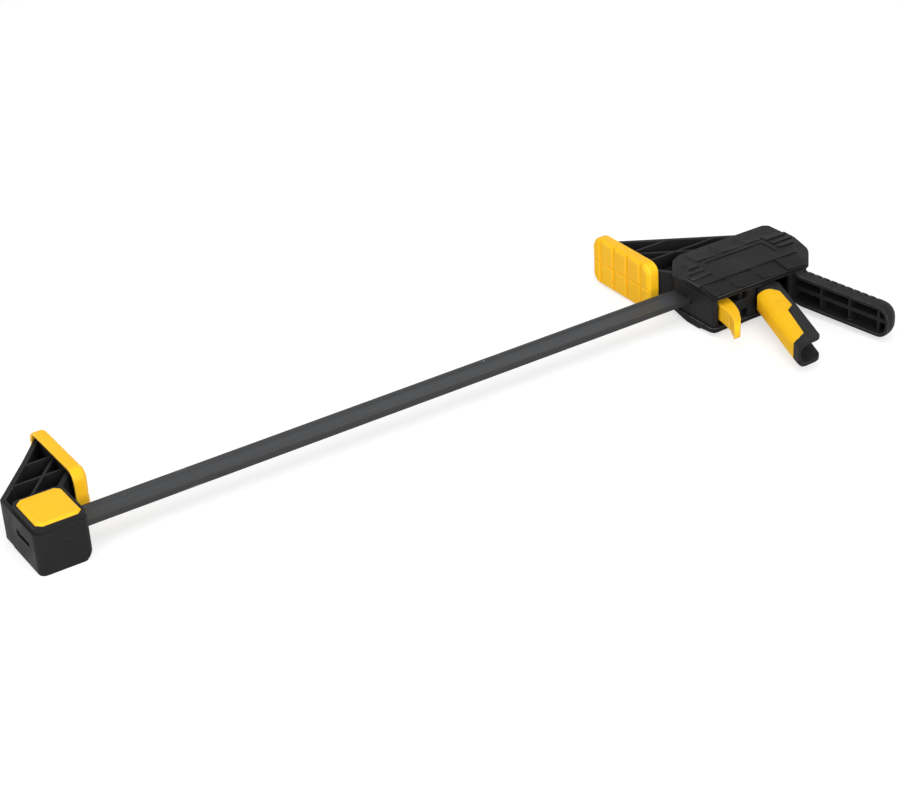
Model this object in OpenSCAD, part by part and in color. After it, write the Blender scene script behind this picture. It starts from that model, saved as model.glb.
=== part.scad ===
// One-handed quick release bar clamp, lying on its side.
// X runs along the bar from the fixed jaw to the sliding head, Y points towards the jaws,
// and Z points up out of the side that carries the yellow button.
// The origin is on the bar's centreline, in the plane of the fixed jaw's clamping face.

/* [Bar] */
// Width of the steel bar
bar_w = 19; // [18:0.25:20]
// Thickness of the bar over its rims
bar_t = 4.5; // [4.2:0.1:4.9]
// Width of the raised rim along each edge of the bar
bar_rim_w = 2.8; // [2.2:0.1:3.6]
// Depth of the channel rolled into each wide face
channel_depth = 0.9; // [0.6:0.1:1.1]
// Slope run of the channel's sides
channel_run = 0.8; // [0.4:0.1:1.2]
// Opening between the clamping faces with the head at the end of the bar
opening = 451; // [150:1:900]
// Gap round the bar in every slot that it runs through
bar_clear = 0.3; // [0.2:0.05:0.4]

/* [Clamping pads] */
// Length of a pad's face, across the bar
pad_len = 70; // [64:1:76]
// Height of a pad's face
pad_h = 38; // [35:1:42]
// Depth of a pad from its clamping face to its back rim
pad_depth = 9.8; // [9:0.2:11]
// Thickness of a pad's side walls
pad_wall = 2.5; // [2:0.1:3]
// Thickness of a pad behind its clamping face
pad_front_t = 3.5; // [3:0.1:4]
// Corner radius of a pad's face
pad_corner_r = 8.5; // [6:0.5:10]
// Bevel between a pad's face and its sides
pad_bevel = 2.2; // [1.5:0.1:2.8]
// Distance from the bar's centreline to the near end of a pad
pad_base = 22.4; // [21.5:0.2:25]
// Number of tile columns along a pad
tile_columns = 5; // [3:1:5]
// Pitch of the tile columns
tile_pitch = 16.5; // [12:0.5:16.5]
// Width of the grooves between tile columns
groove_w = 4.4; // [2:0.2:4.6]
// Depth of the grooves between tiles
groove_d = 1.4; // [0.5:0.1:1.6]
// Width of the long groove between the two tile rows
row_groove_w = 2.6; // [1:0.1:3]

/* [Jaw arms] */
// Height of both jaw arms over their ribs
arm_h = 24.4; // [23.6:0.2:26]
// Thickness of the flat web in the middle of an arm
web_t = 3; // [2:0.2:4]
// Thickness of the wall along the back of an arm
spine_t = 3.5; // [2.5:0.1:4.5]
// Thickness of the ribs on both sides of the web
rib_t = 2; // [1.5:0.1:2.6]
// Thickness of the plate that the pad is pushed over
plate_t = 4; // [3:0.1:4.6]
// Height of the rib nearest the bar above the bar's centreline
low_rib_y = 42.3; // [40:0.5:46]
// Height of the rib furthest from the bar
high_rib_y = 61.5; // [58:0.5:65]

/* [Fixed jaw] */
// Length of the block along the bar
block_l = 37.5; // [36:0.5:40]
// Reach of the block on the side away from the jaws
block_front = 22.4; // [21:0.2:24]
// Reach of the block on the side of the jaws
block_rear = 20.5; // [20:0.2:21.5]
// Height of the rim round the button above the middle of the bar
rim_top = 16.5; // [16:0.1:17.5]
// Depth of the block below the middle of the bar
block_low = 17.8; // [17:0.1:18.4]
// Depth of the fixed arm below the middle of the bar
fixed_arm_low = 16.4; // [14:0.2:16.4]
// Cut across the block's lower edge, under the bar
block_cut = 6; // [4:0.5:7]
// Corner radius of the block
block_corner_r = 5; // [3:0.5:6]
// Wall thickness of the block
block_wall = 3; // [2.4:0.1:3.4]
// Inset of the button's rim from the block's front and sides
rim_inset = 0.6; // [0.3:0.1:1]
// Inset of the button's rim from the block's back
rim_back_inset = 1.8; // [1.4:0.1:2.4]
// Wall thickness of the rim round the button
rim_wall = 1.6; // [0.8:0.1:1.8]
// Distance between the block and the clamping face
jaw_gap = 19.5; // [18:0.5:24]
// Height at which the spine leaves the block's back face
spine_foot = 31.8; // [30:0.2:34]
// Height of the bend in the spine
spine_knee_y = 66.2; // [64:0.2:68]
// Distance of the bend in the spine behind the clamping face
spine_knee_d = 26.8; // [25:0.2:29]
// Gap between the block's back face and the bar's end
bar_recess = 1.5; // [0.8:0.1:2.4]
// Diameter of the moulding mark on the block's front
gate_d = 3; // [2:0.1:4]
// Depth of the moulding mark
gate_depth = 0.5; // [0.3:0.1:0.8]

/* [Jaw button] */
// Gap round the button in its rim
button_clear = 0.3; // [0.2:0.05:0.4]
// Height of the button's top above the block's rim
button_proud = 1.3; // [0.8:0.1:2]
// Thickness of the button's top plate
button_plate_t = 2.3; // [2:0.1:2.6]
// Chamfer across the button's corners
button_chamfer = 3.8; // [3:0.2:6]
// Bevel round the button's top
button_bevel = 1.4; // [0.4:0.1:1.8]
// Travel of the button
button_travel = 3; // [2.8:0.1:3.2]
// Step from the button's edge in to its skirt
skirt_step = 1.6; // [1.2:0.1:2]
// Wall thickness of the button's skirt
skirt_wall = 2; // [1.5:0.1:2.4]
// Depth of the button's skirt below its plate
skirt_h = 6.5; // [5:0.5:8]
// Width of each leg that straddles the bar
leg_w = 14; // [12:0.5:16]
// Thickness of each leg
leg_t = 3; // [2.5:0.1:3.6]
// Gap between a leg and the bar's edge
leg_gap = 0.8; // [0.5:0.1:1.2]
// Thickness of the bridge under the bar
bridge_t = 3; // [2.6:0.1:3.4]
// Diameter of the locking peg
peg_d = 6; // [5:0.2:6.6]
// Gap between the peg and the hole in the bar
peg_clear = 0.3; // [0.2:0.05:0.5]
// Height of the peg's top above the middle of the bar
peg_reach = 0.5; // [0.3:0.1:0.8]
// Distance from the bar's end to the hole for the peg
peg_inset = 17.5; // [16:0.5:19]

/* [Head] */
// Length of the head's covers along the bar
head_l = 105.5; // [103:0.5:110]
// Reach of the covers on the handle's side
head_front = 38.4; // [37.6:0.2:40]
// Reach of the covers on the jaw's side
head_rear = 31; // [30.5:0.2:33]
// Distance between the clamping face and the covers
head_gap = 12.3; // [11:0.1:14]
// Run of the slanted nose behind the jaw
nose_run = 16.7; // [15:0.2:18]
// Fall of the slanted nose
nose_fall = 21.5; // [20:0.5:23]
// Radius where the nose meets the rear side
nose_r = 9; // [6:1:14]
// Run of the slanted corner beside the handle
tail_run = 16.9; // [15:0.2:17.5]
// Rise of the slanted corner beside the handle
tail_rise = 19.5; // [18:0.5:21]
// Radius where the slanted corner meets the end of the head
tail_r = 12; // [8:1:14]
// Radius of the small corners of the head
head_corner_r = 4.5; // [3:0.5:6]
// Radius of the corner behind the handle
far_corner_r = 5; // [4:0.5:8]
// Height of the frame between the covers
frame_h = 22; // [21.6:0.2:23]
// Inset of the frame from the edge of the covers
frame_inset = 1.5; // [1:0.1:2]
// Wall thickness of the frame
frame_wall = 3; // [2.6:0.1:3.4]
// Distance of the middle guide wall from the covers' near end
mid_wall_u = 27; // [26:0.2:28]
// Distance of the rear guide wall from the covers' near end
rear_wall_u = 84.5; // [83:0.2:86]
// Length of bar beyond the rear guide wall
bar_tail = 13; // [12:0.2:13.6]
// Wider gap beside the bar where it enters the head
entry_gap = 1.6; // [0.8:0.1:2]

/* [Covers] */
// Height of the covers' flat faces above the middle of the bar
cover_z = 16.2; // [15.8:0.1:16.8]
// Thickness of a cover
cover_t = 3; // [2.6:0.1:3.4]
// Width of the rim under a cover
cover_rim_w = 4; // [3.4:0.1:4.4]
// Height of the raised band along a cover
band_h = 1; // [0.6:0.1:1.4]
// Reach of the raised band towards the handle
band_front = 21.5; // [20.5:0.5:23]
// Reach of the raised band towards the jaw
band_rear = 9.5; // [9:0.5:10.5]
// Depth of the bare label recess in the band
label_depth = 0.5; // [0.3:0.1:0.6]
// Length of the label recess
label_l = 54; // [50:1:58]
// Distance of the label recess from the covers' near end
label_u = 26.5; // [24:0.5:28]
// Reach of the label recess towards the handle
label_front = 12.2; // [11:0.2:14]
// Reach of the label recess towards the jaw
label_rear = 5.8; // [5.4:0.1:6.4]
// Fall of a cover's surface from the band to the handle's side
front_fall = 2; // [1:0.1:2.2]
// Fall of a cover's surface from the band to the jaw's side
rear_fall = 0.8; // [0.4:0.1:1.2]
// Height of the tall end of each shingle
shingle_h = 0.8; // [0.5:0.1:1]
// Pitch of the shingles along the head
shingle_pitch = 22.7; // [21:0.1:23.5]
// Distance of the first shingle step from the covers' near end
shingle_u = 24.5; // [23:0.5:26]
// Pitch of the short ridges at both ends of the band
ridge_pitch = 7.3; // [7:0.1:7.6]
// Length of the short ridges
ridge_l = 18; // [14:0.5:19]
// Width of the slanted facets on the two cut corners
facet_w = 8; // [6:0.5:9]
// Drop of the slanted facets
facet_drop = 2.9; // [2:0.1:3.2]

/* [Handle] */
// Distance of the handle's front edge from the covers' near end
handle_u = 71.4; // [71:0.2:72.6]
// Depth of the handle
handle_depth = 18; // [17:0.5:18.6]
// Length of the handle beyond the head
handle_l = 89; // [84:1:96]
// Width of the handle
handle_w = 24; // [23:0.2:24.4]
// Lean of the handle away from the square
handle_lean = 9.8; // [8.5:0.1:11]
// Radius along the back of the handle and round its end
handle_round = 10; // [6:0.5:10]
// Radius from the handle's back to its end, seen from the side
handle_heel_r = 15; // [10:0.5:16]
// Wall thickness of the handle
handle_wall = 2.6; // [2.2:0.1:3]
// Setback of the web and ribs inside the handle
handle_setback = 3.6; // [3:0.1:5]
// Number of cross ribs inside the handle
handle_ribs = 3; // [2:1:4]
// Distance between the cross ribs
handle_rib_pitch = 25.9; // [22:0.1:28]
// Setback of the handle's front edge beside the head
handle_dip = 3; // [1:0.5:3.5]
// Length of that setback
handle_dip_l = 13; // [8:1:16]
// Number of notches on the back of the handle
notch_count = 10; // [6:1:11]
// Pitch of the notches
notch_pitch = 7; // [6:0.1:7.1]
// Width of each notch
notch_w = 3.2; // [1.6:0.1:3.6]
// Depth of the notches
notch_d = 1.5; // [0.6:0.1:1.8]

/* [Squeeze lever] */
// Distance of the lever's pivot from the covers' near end
pivot_u = 57; // [56:0.2:58]
// Height of the lever's pivot above the bar's centreline
pivot_y = 15; // [14.6:0.2:15.4]
// Lean of the lever at rest
lever_lean = 20.5; // [20:0.1:22]
// Depth of the lever from front to back
lever_depth = 22.2; // [21:0.2:22.6]
// Width of the lever
lever_w = 19.4; // [18:0.2:19.6]
// Distance from the pivot to the shoulder where the grip starts
lever_shoulder = 53; // [51:0.5:54]
// Distance from the pivot to the lever's tip at its back
lever_back_l = 136; // [130:0.5:138]
// Distance from the pivot to the lever's tip at its front
lever_front_l = 144.5; // [138:0.5:150]
// Thickness of the lever behind its rounded front
lever_front_wall = 4.5; // [3.8:0.1:6]
// Half the width of the channel inside the lever
lever_channel = 6.7; // [5:0.1:6.8]
// Radius of the lever's back edges
lever_edge_r = 2.4; // [1.5:0.1:3]
// Thickness of the soft grip
grip_t = 1.8; // [1.4:0.1:1.9]
// Radius of the lever's eye round its pin
eye_r = 6.5; // [5.5:0.1:7]
// Radius of the nose that pushes the drive plates
nose_pin_r = 3; // [2.5:0.1:3.5]
// Distance of that nose below the pivot
nose_drop = 14; // [13.5:0.1:14.5]
// Distance of that nose behind the pivot
nose_ahead = 6; // [5.5:0.1:6.5]

/* [Release lever] */
// Width of the release lever
release_w = 13; // [11:0.5:14]
// Distance of the lever's end from the bar's centreline
release_reach = 69; // [65:0.5:73]
// Width of the lever's flat end
release_tip_w = 4.4; // [3.4:0.1:6]
// Depth of the lever where it leaves the head
release_root_w = 12; // [11:0.2:12.4]

/* [Lock and drive plates] */
// Thickness of the steel plates
steel_t = 3; // [2.4:0.1:3.2]
// Width of the drive plates
drive_w = 19; // [17:0.2:19.4]
// Reach of the drive plates below the bar's centreline
drive_low = 19; // [18.4:0.2:19.6]
// Reach of the drive plates above the bar's centreline
drive_high = 13.5; // [12.5:0.1:14]
// Gap between the lever's nose and the first drive plate
drive_gap = 0.3; // [0.2:0.05:0.4]
// Distance of the brake plate from the covers' near end
brake_u = 10.5; // [10:0.1:11]
// Width of the brake plate
brake_w = 17; // [15:0.5:18]
// Reach of the brake plate above the bar's centreline
brake_high = 14.5; // [14:0.1:14.8]
// Reach of the brake plate's tongue below the bar's centreline
brake_low = 30; // [28:0.5:31]
// Gap round the bar in the steel plates
plate_clear = 0.45; // [0.35:0.05:0.6]

/* [Pins, screws and springs] */
// Diameter of the squeeze lever's pin
pin_d = 6; // [5:0.2:6.4]
// Gap between a pin and the hole that holds it
seat_clear = 0.02; // [0.01:0.01:0.05]
// Running gap between the pin and the lever's eye
run_clear = 0.05; // [0.03:0.01:0.09]
// Depth to which the pin enters each cover
pin_seat = 2.2; // [1.6:0.1:2.6]
// Diameter of the screws
screw_d = 2.9; // [2.5:0.1:3.2]
// Diameter of the screw heads
screw_head_d = 5.6; // [5:0.1:6]
// Height of the screw heads
screw_head_h = 2; // [1.6:0.1:2.2]
// Radius of the screw posts
post_r = 3.3; // [3:0.1:3.5]
// Diameter of the stop pin at the bar's end
stop_d = 3; // [2.4:0.1:3.2]
// Wire diameter of the springs
wire_d = 0.9; // [0.7:0.05:1]
// Outer diameter of the two springs in the head
spring_d = 6.8; // [6:0.1:7]
// Outer diameter of the spring under the button
button_spring_d = 9; // [8:0.2:10]
// Number of turns of each spring
spring_turns = 4; // [3:1:5]

/* [Hidden] */

// Cuts run this far past the face that they open, and joined solids lap by it
over = 1;
// A face-thin slice that shapes one end of a hull
skin = 0.05;
// Turn of each facet on a rounded corner
facet_turn = 15;
$fn = 64;

// Places along the bar
block_back_x = -(jaw_gap + block_l);
head_x = opening + head_gap;
bar_start_x = block_back_x + bar_recess;
bar_end_x = head_x + rear_wall_u + frame_wall + bar_tail;
stop_x = head_x + rear_wall_u + frame_wall + bar_clear + stop_d / 2;
plate_back_d = pad_front_t + plate_t;

// Half heights
bar_half = bar_t / 2;
arm_half = arm_h / 2;
frame_half = frame_h / 2;
lever_half = lever_w / 2;
inner_inset = frame_inset + frame_wall;

function unit(v) = v / norm(v);
function left_of(a, b) = let (d = unit(b - a)) [-d[1], d[0]];
function flat(p) = [p[0], p[1]];
function cross_z(a, b) = a[0] * b[1] - a[1] * b[0];

// An outline runs anticlockwise, and each of its points is [x, y, corner radius]
function before(pts, i) = flat(pts[(i + len(pts) - 1) % len(pts)]);
function after(pts, i) = flat(pts[(i + 1) % len(pts)]);

// The outline moved inwards by a distance
function inset(pts, dist) = [
    for (i = [0:len(pts) - 1])
        let (n1 = left_of(before(pts, i), flat(pts[i])), n2 = left_of(flat(pts[i]), after(pts, i)))
        let (corner = flat(pts[i]) + (n1 + n2) * dist / (1 + n1 * n2))
        [corner[0], corner[1], max(pts[i][2] - dist, 0)]
];

// The arc that rounds one corner of an outline
function corner_arc(p, n1, n2, r) =
    let (side = sign(cross_z(n1, n2)), turn = acos(max(-1, min(1, n1 * n2))))
    let (mid = p + side * (n1 + n2) * r / (1 + n1 * n2), steps = max(1, ceil(turn / facet_turn)))
    let (start = atan2(-side * n1[1], -side * n1[0]))
    [for (k = [0:steps]) let (a = start + side * turn * k / steps) mid + r * [cos(a), sin(a)]];

// The outline with every corner rounded to its own radius
function rounded(pts) = [
    for (i = [0:len(pts) - 1])
        let (n1 = left_of(before(pts, i), flat(pts[i])), n2 = left_of(flat(pts[i]), after(pts, i)))
        let (arc = pts[i][2] > 0 && n1 * n2 < 1 ? corner_arc(flat(pts[i]), n1, n2, pts[i][2])
            : [flat(pts[i])])
        for (q = arc) q
];

// A rectangle as an outline, from its near corner to its far corner
function rect(x0, y0, x1, y1, r = 0) = [[x0, y0, r], [x1, y0, r], [x1, y1, r], [x0, y1, r]];

// Points on a curve from a to c that bends towards b
function bend(a, b, c, steps) = [
    for (k = [0:steps]) let (t = k / steps) (1 - t) * (1 - t) * a + 2 * t * (1 - t) * b + t * t * c
];

// Prisms along each of the three axes, from an outline and two limits
module z_prism(pts, z0, z1) {
    translate([0, 0, z0]) linear_extrude(z1 - z0) polygon(rounded(pts));
}
module x_prism(pts, x0, x1) {
    translate([x0, 0, 0]) rotate([90, 0, 90]) linear_extrude(x1 - x0) polygon(rounded(pts));
}
module y_prism(pts, y0, y1) {
    translate([0, y1, 0]) rotate([90, 0, 0]) linear_extrude(y1 - y0) polygon(rounded(pts));
}

// A round rod or bore along Z
module rod(x, y, r, z0, z1) {
    translate([x, y, z0]) cylinder(r = r, h = z1 - z0);
}

// A straight wall along the line from p to q, as tall as the limits given
module strip(p, q, w, z0, z1) {
    side = left_of(p, q) * w / 2;
    z_prism([concat(p - side, 0), concat(q - side, 0), concat(q + side, 0), concat(p + side, 0)], z0, z1);
}

// A helical spring along Z, open at both ends
spring_steps = 12;
wire_sides = 6;
module coil_spring(outer_d, length) {
    path_r = (outer_d - wire_d) / 2;
    rise = length - wire_d;
    rings = spring_turns * spring_steps;
    points = [
        for (k = [0:rings]) let (a = 360 * k / spring_steps)
            for (j = [0:wire_sides - 1]) let (b = 360 * j / wire_sides)
                [(path_r + wire_d / 2 * cos(b)) * cos(a), (path_r + wire_d / 2 * cos(b)) * sin(a),
                    wire_d / 2 + rise * k / rings + wire_d / 2 * sin(b)]
    ];
    walls = [
        for (k = [0:rings - 1]) for (j = [0:wire_sides - 1])
            let (a = k * wire_sides + j, b = k * wire_sides + (j + 1) % wire_sides)
            for (face = [[a, b, b + wire_sides], [a, b + wire_sides, a + wire_sides]]) face
    ];
    near_end = [for (j = [1:wire_sides - 2]) [0, j + 1, j]];
    last = rings * wire_sides;
    far_end = [for (j = [1:wire_sides - 2]) [last, last + j, last + j + 1]];
    polyhedron(points, concat(walls, near_end, far_end));
}

// Bar
function bar_outline(gap) =
    let (w = bar_w / 2 + gap, t = bar_half + gap, floor_z = bar_half - channel_depth + gap)
    let (edge = bar_w / 2 - bar_rim_w - gap, foot = bar_w / 2 - bar_rim_w - gap - channel_run)
    [[-w, -t, 0], [-edge, -t, 0], [-foot, -floor_z, 0], [foot, -floor_z, 0], [edge, -t, 0], [w, -t, 0],
        [w, t, 0], [edge, t, 0], [foot, floor_z, 0], [-foot, floor_z, 0], [-edge, t, 0], [-w, t, 0]];

module bar() {
    color("dimgray") difference() {
        x_prism(bar_outline(0), bar_start_x, bar_end_x);
        for (x = [bar_start_x + peg_inset, bar_end_x - peg_inset])
            rod(x, 0, peg_d / 2 + peg_clear, -bar_t, bar_t);
        rod(stop_x, 0, stop_d / 2 + seat_clear, -bar_t, bar_t);
    }
}

module bar_stop_pin() {
    color("silver") rod(stop_x, 0, stop_d / 2, -(bar_half - skin), bar_half - skin);
}

// The slot that the bar runs through
module bar_window(x0, x1) {
    w = bar_w / 2 + bar_clear;
    t = bar_half + bar_clear;
    x_prism(rect(-w, -t, w, t), x0, x1);
}

// Clamping pads, drawn with the clamping face at x = 0 and the pad behind it at positive x
function pad_outline(margin) = rect(pad_base + margin, -(pad_h / 2 - margin), pad_base + pad_len - margin,
    pad_h / 2 - margin, pad_corner_r - margin);

module clamp_pad() {
    first_y = pad_base + pad_len / 2 - (tile_columns / 2 - 1) * tile_pitch;
    half_w = groove_w / 2;
    floor_w = groove_w / 4;
    row_groove_d = 0.8 * groove_d;
    difference() {
        hull() {
            x_prism(pad_outline(0), pad_bevel, pad_depth);
            x_prism(pad_outline(pad_bevel), 0, skin);
        }
        x_prism(pad_outline(pad_wall), pad_front_t, pad_depth + over);
        for (k = [0:tile_columns - 2]) translate([0, first_y + k * tile_pitch, 0])
            z_prism([[0, -half_w, 0], [groove_d, -floor_w, 0], [groove_d, floor_w, 0], [0, half_w, 0],
                [-over, half_w, 0], [-over, -half_w, 0]], -pad_h, pad_h);
        y_prism([[-over, -row_groove_w / 2, 0], [0, -row_groove_w / 2, 0],
            [row_groove_d, -row_groove_w / 6, 0], [row_groove_d, row_groove_w / 6, 0],
            [0, row_groove_w / 2, 0], [-over, row_groove_w / 2, 0]], 0, pad_base + pad_len + over);
    }
}

module pad_plate() {
    x_prism(pad_outline(pad_wall), pad_front_t, plate_back_d);
}

// The room that a pad's side walls take up
module pad_ring() {
    difference() {
        x_prism(pad_outline(-over), 0, pad_depth);
        x_prism(pad_outline(pad_wall), -over, pad_depth + over);
    }
}

// A jaw arm between the pad's plate and its root: a web, the walls on its edges and crossed ribs
module jaw_arm(outline, edges, ribs, low_z) {
    mid_z = (arm_half + low_z) / 2;
    difference() {
        union() {
            z_prism(outline, mid_z - web_t / 2, mid_z + web_t / 2);
            intersection() {
                z_prism(outline, low_z, arm_half);
                union() {
                    for (e = edges) let (lap = unit(e[1] - e[0]) * spine_t)
                        strip(e[0] - lap, e[1] + lap, 2 * spine_t, low_z, arm_half);
                    for (e = ribs) strip(e[0], e[1], rib_t, low_z, arm_half);
                }
            }
        }
        pad_ring();
    }
    pad_plate();
}

// Fixed jaw
block_d = jaw_gap + block_l;
near_foot_y = 33.9;
fixed_top = pad_base + pad_len - pad_wall;
fixed_root_y = block_rear - block_wall;
fixed_arm = [[plate_back_d, near_foot_y, 0], [jaw_gap, block_rear, 0], [jaw_gap, fixed_root_y, 0],
    [block_d, fixed_root_y, 0], [block_d, spine_foot, 0], [spine_knee_d, spine_knee_y, 0],
    [plate_back_d, fixed_top, 0]];
fixed_edges = [[[block_d, fixed_root_y], [block_d, spine_foot]], [[block_d, spine_foot],
    [spine_knee_d, spine_knee_y]], [[spine_knee_d, spine_knee_y], [plate_back_d, fixed_top]],
    [[plate_back_d, near_foot_y], [jaw_gap, block_rear]]];
// The crossing rib runs from the pad's plate to the block, level with the spine
fixed_cross_top = 59.3;
fixed_cross_root_d = 42;
fixed_ribs = [[[0, high_rib_y], [block_d, high_rib_y]], [[0, low_rib_y], [block_d, low_rib_y]],
    [[plate_back_d, fixed_cross_top], [fixed_cross_root_d, block_rear]]];

// The block's outlines, with x counted from its back face
block_outline = [[0, -block_front, block_corner_r], [block_l, -block_front, block_corner_r],
    [block_l, block_rear, 0], [0, block_rear, 0]];
block_foot_r = 1;
block_cut_r = 2;
rim_outline = [[rim_back_inset, rim_inset - block_front, block_corner_r],
    [block_l - rim_inset, rim_inset - block_front, block_corner_r],
    [block_l - rim_inset, block_rear - rim_back_inset, block_corner_r],
    [rim_back_inset, block_rear - rim_back_inset, block_corner_r]];
block_profile = [[0, -block_low, block_foot_r], [block_l - block_cut, -block_low, block_cut_r],
    [block_l, block_cut - block_low, block_cut_r], [block_l, arm_half, 0], [0, arm_half, 0]];
button_well = octagon(rim_back_inset + rim_wall, rim_inset + rim_wall - block_front,
    block_l - rim_inset - rim_wall, block_rear - rim_back_inset - rim_wall, button_chamfer);
block_inner = inset(block_outline, block_wall);
cavity_floor_z = -(block_low - block_wall);
cavity_front_x = block_l - block_cut;
cavity_step_z = -(bar_half + 2 * button_travel);
gate_x = 19.5;
gate_z = 2;

module fixed_jaw_frame() {
    color([0.16, 0.16, 0.17]) union() {
        mirror([1, 0, 0]) jaw_arm(fixed_arm, fixed_edges, fixed_ribs, -fixed_arm_low);
        translate([block_back_x, 0, 0]) difference() {
            union() {
                intersection() {
                    z_prism(block_outline, -block_low, arm_half);
                    y_prism(block_profile, -block_front, block_rear);
                }
                z_prism(rim_outline, 0, rim_top);
            }
            z_prism(button_well, arm_half, rim_top + over);
            z_prism(block_inner, cavity_step_z, arm_half + over);
            intersection() {
                z_prism(block_inner, cavity_floor_z, 0);
                z_prism(rect(0, -block_front, cavity_front_x, block_rear), cavity_floor_z, 0);
            }
            bar_window(-over, block_l + over);
            translate([gate_x, gate_depth - block_front, gate_z]) rotate([90, 0, 0])
                cylinder(d = gate_d, h = gate_depth + over);
        }
    }
}

module fixed_jaw_pad() {
    color([1, 0.78, 0.2]) mirror([1, 0, 0]) clamp_pad();
}

// Jaw button: a wide cap, a skirt that slides in the block, and two legs round the bar
button_top_z = rim_top + button_proud;
plate_low_z = button_top_z - button_plate_t;
bridge_top_z = -(bar_half + bar_clear);
bridge_low_z = bridge_top_z - bridge_t;
peg_x = bar_recess + peg_inset;
function octagon(x0, y0, x1, y1, c) = [[x0 + c, y0, 0], [x1 - c, y0, 0], [x1, y0 + c, 0],
    [x1, y1 - c, 0], [x1 - c, y1, 0], [x0 + c, y1, 0], [x0, y1 - c, 0], [x0, y0 + c, 0]];
button_face = inset(button_well, button_clear);
skirt_outline = inset(button_face, skirt_step);
leg_in_y = bar_w / 2 + leg_gap;
leg_out_y = leg_in_y + leg_t;

module jaw_button() {
    color([1, 0.8, 0.22]) translate([block_back_x, 0, 0]) difference() {
        union() {
            hull() {
                z_prism(button_face, plate_low_z, button_top_z - button_bevel);
                z_prism(inset(button_face, button_bevel), button_top_z - skin, button_top_z);
            }
            difference() {
                z_prism(skirt_outline, plate_low_z - skirt_h, plate_low_z);
                z_prism(inset(skirt_outline, skirt_wall), plate_low_z - skirt_h - over, plate_low_z);
            }
            for (side = [-1, 1]) scale([1, side, 1])
                z_prism(rect(peg_x - leg_w / 2, leg_in_y, peg_x + leg_w / 2, leg_out_y), bridge_low_z,
                    plate_low_z);
            z_prism(rect(peg_x - leg_w / 2, -leg_out_y, peg_x + leg_w / 2, leg_out_y), bridge_low_z,
                bridge_top_z);
        }
        rod(peg_x, 0, peg_d / 2 + seat_clear, bridge_low_z - over, bridge_top_z + over);
    }
}

module lock_peg() {
    color("silver") rod(block_back_x + peg_x, 0, peg_d / 2, bridge_low_z, peg_reach);
}

module button_spring() {
    color("gainsboro") translate([block_back_x + peg_x, 0, cavity_floor_z])
        coil_spring(button_spring_d, bridge_low_z - cavity_floor_z);
}

// Head outlines, with x counted from the covers' near end
cover_outline = [[0, -head_front, head_corner_r], [head_l - tail_run, -head_front, head_corner_r],
    [head_l, -(head_front - tail_rise), tail_r], [head_l, head_rear, far_corner_r],
    [nose_run, head_rear, nose_r], [0, head_rear - nose_fall, head_corner_r]];
frame_outline = inset(cover_outline, frame_inset);
frame_inner = inset(cover_outline, inner_inset);
front_in_y = -(head_front - inner_inset);

// Screw posts: each place is [distance along the head, distance across it]
post_near_u = 36;
post_low_far_u = head_l - 26.5;
post_far_u = head_l - 11.5;
post_high_y = 23.4;
post_low_y = -30.8;
post_places = [[post_near_u, post_high_y], [post_near_u, post_low_y], [post_far_u, post_high_y],
    [post_low_far_u, post_low_y]];

// Openings in the head's front wall
release_slot_u = 5.3;
tongue_u = 21.7;
tongue_half = 3.7;
window_end_u = 32.4;
front_slot_half = 10.3;
lever_slot_u = 40;
lever_slot_half = lever_half + bar_clear;

// The two lugs that hold the top of the brake plate, and its pivot
lug_gap = 0.4;
lug_t = 2.2;
lug_low_y = 11.6;
brake_pivot_u = brake_u + steel_t / 2;
brake_pivot_y = brake_high - steel_t / 2;

// Moving jaw arm, with x counted back from the clamping face
moving_top = 87.9;
moving_root_d = 100;
moving_near_y = 28.9;
moving_cross_top = 62.6;
moving_cross_root_d = 62;
moving_edge_slope = (moving_top - head_rear) / (moving_root_d - pad_depth);
moving_arm = [[plate_back_d, moving_near_y, 0], [head_gap + nose_run / 2, head_rear - nose_fall, 0],
    [moving_root_d, head_rear - nose_fall, 0], [moving_root_d, head_rear, 0],
    [plate_back_d, moving_top + moving_edge_slope * (pad_depth - plate_back_d), 0]];
moving_edges = [[flat(moving_arm[3]), flat(moving_arm[4])], [flat(moving_arm[0]), flat(moving_arm[1])]];
moving_ribs = [[[0, high_rib_y], [moving_root_d, high_rib_y]], [[0, low_rib_y], [moving_root_d, low_rib_y]],
    [[plate_back_d, moving_cross_top], [moving_cross_root_d, head_rear - rib_t]]];

// Handle, drawn along -Y with its front edge at x = 0
handle_half = handle_w / 2;
round_x = handle_depth - handle_heel_r;
round_y = handle_heel_r - handle_l;
handle_root_y = 12;
first_notch_y = 4;
first_rib_y = 26.8;
web_plan = [[handle_setback, -handle_l, handle_round / 2], [handle_depth, -handle_l, 0],
    [handle_depth, 0, 0], [handle_setback, 0, 0]];
dip_steps = 6;
dip_curve = bend([0, -handle_dip_l], [0, -handle_dip_l / 2], [handle_dip, 0], dip_steps);
dip_cut = [for (p = concat([[-over, -handle_dip_l]], dip_curve, [[handle_dip, handle_root_y + over],
    [-over, handle_root_y + over]])) [p[0], p[1], 0]];

// The handle's form, shrunk by a distance: a rounded back, a rounded end and a round heel between
module handle_form(shrink, front_x, root_y) {
    half = handle_half - shrink;
    r = handle_round - shrink;
    turn = handle_heel_r - shrink;
    y_prism([[front_x, -half, 0], [round_x + turn, -half, r], [round_x + turn, half, r],
        [front_x, half, 0]], round_y, root_y);
    x_prism([[round_y - turn, -half, r], [root_y, -half, 0], [root_y, half, 0],
        [round_y - turn, half, r]], front_x, round_x);
    intersection() {
        translate([round_x, round_y, 0]) rotate_extrude()
            polygon(rounded([[0, -half, 0], [turn, -half, r], [turn, half, r], [0, half, 0]]));
        z_prism(rect(round_x - over, -handle_l - over, handle_depth + over, round_y + over), -handle_w,
            handle_w);
    }
}

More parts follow.
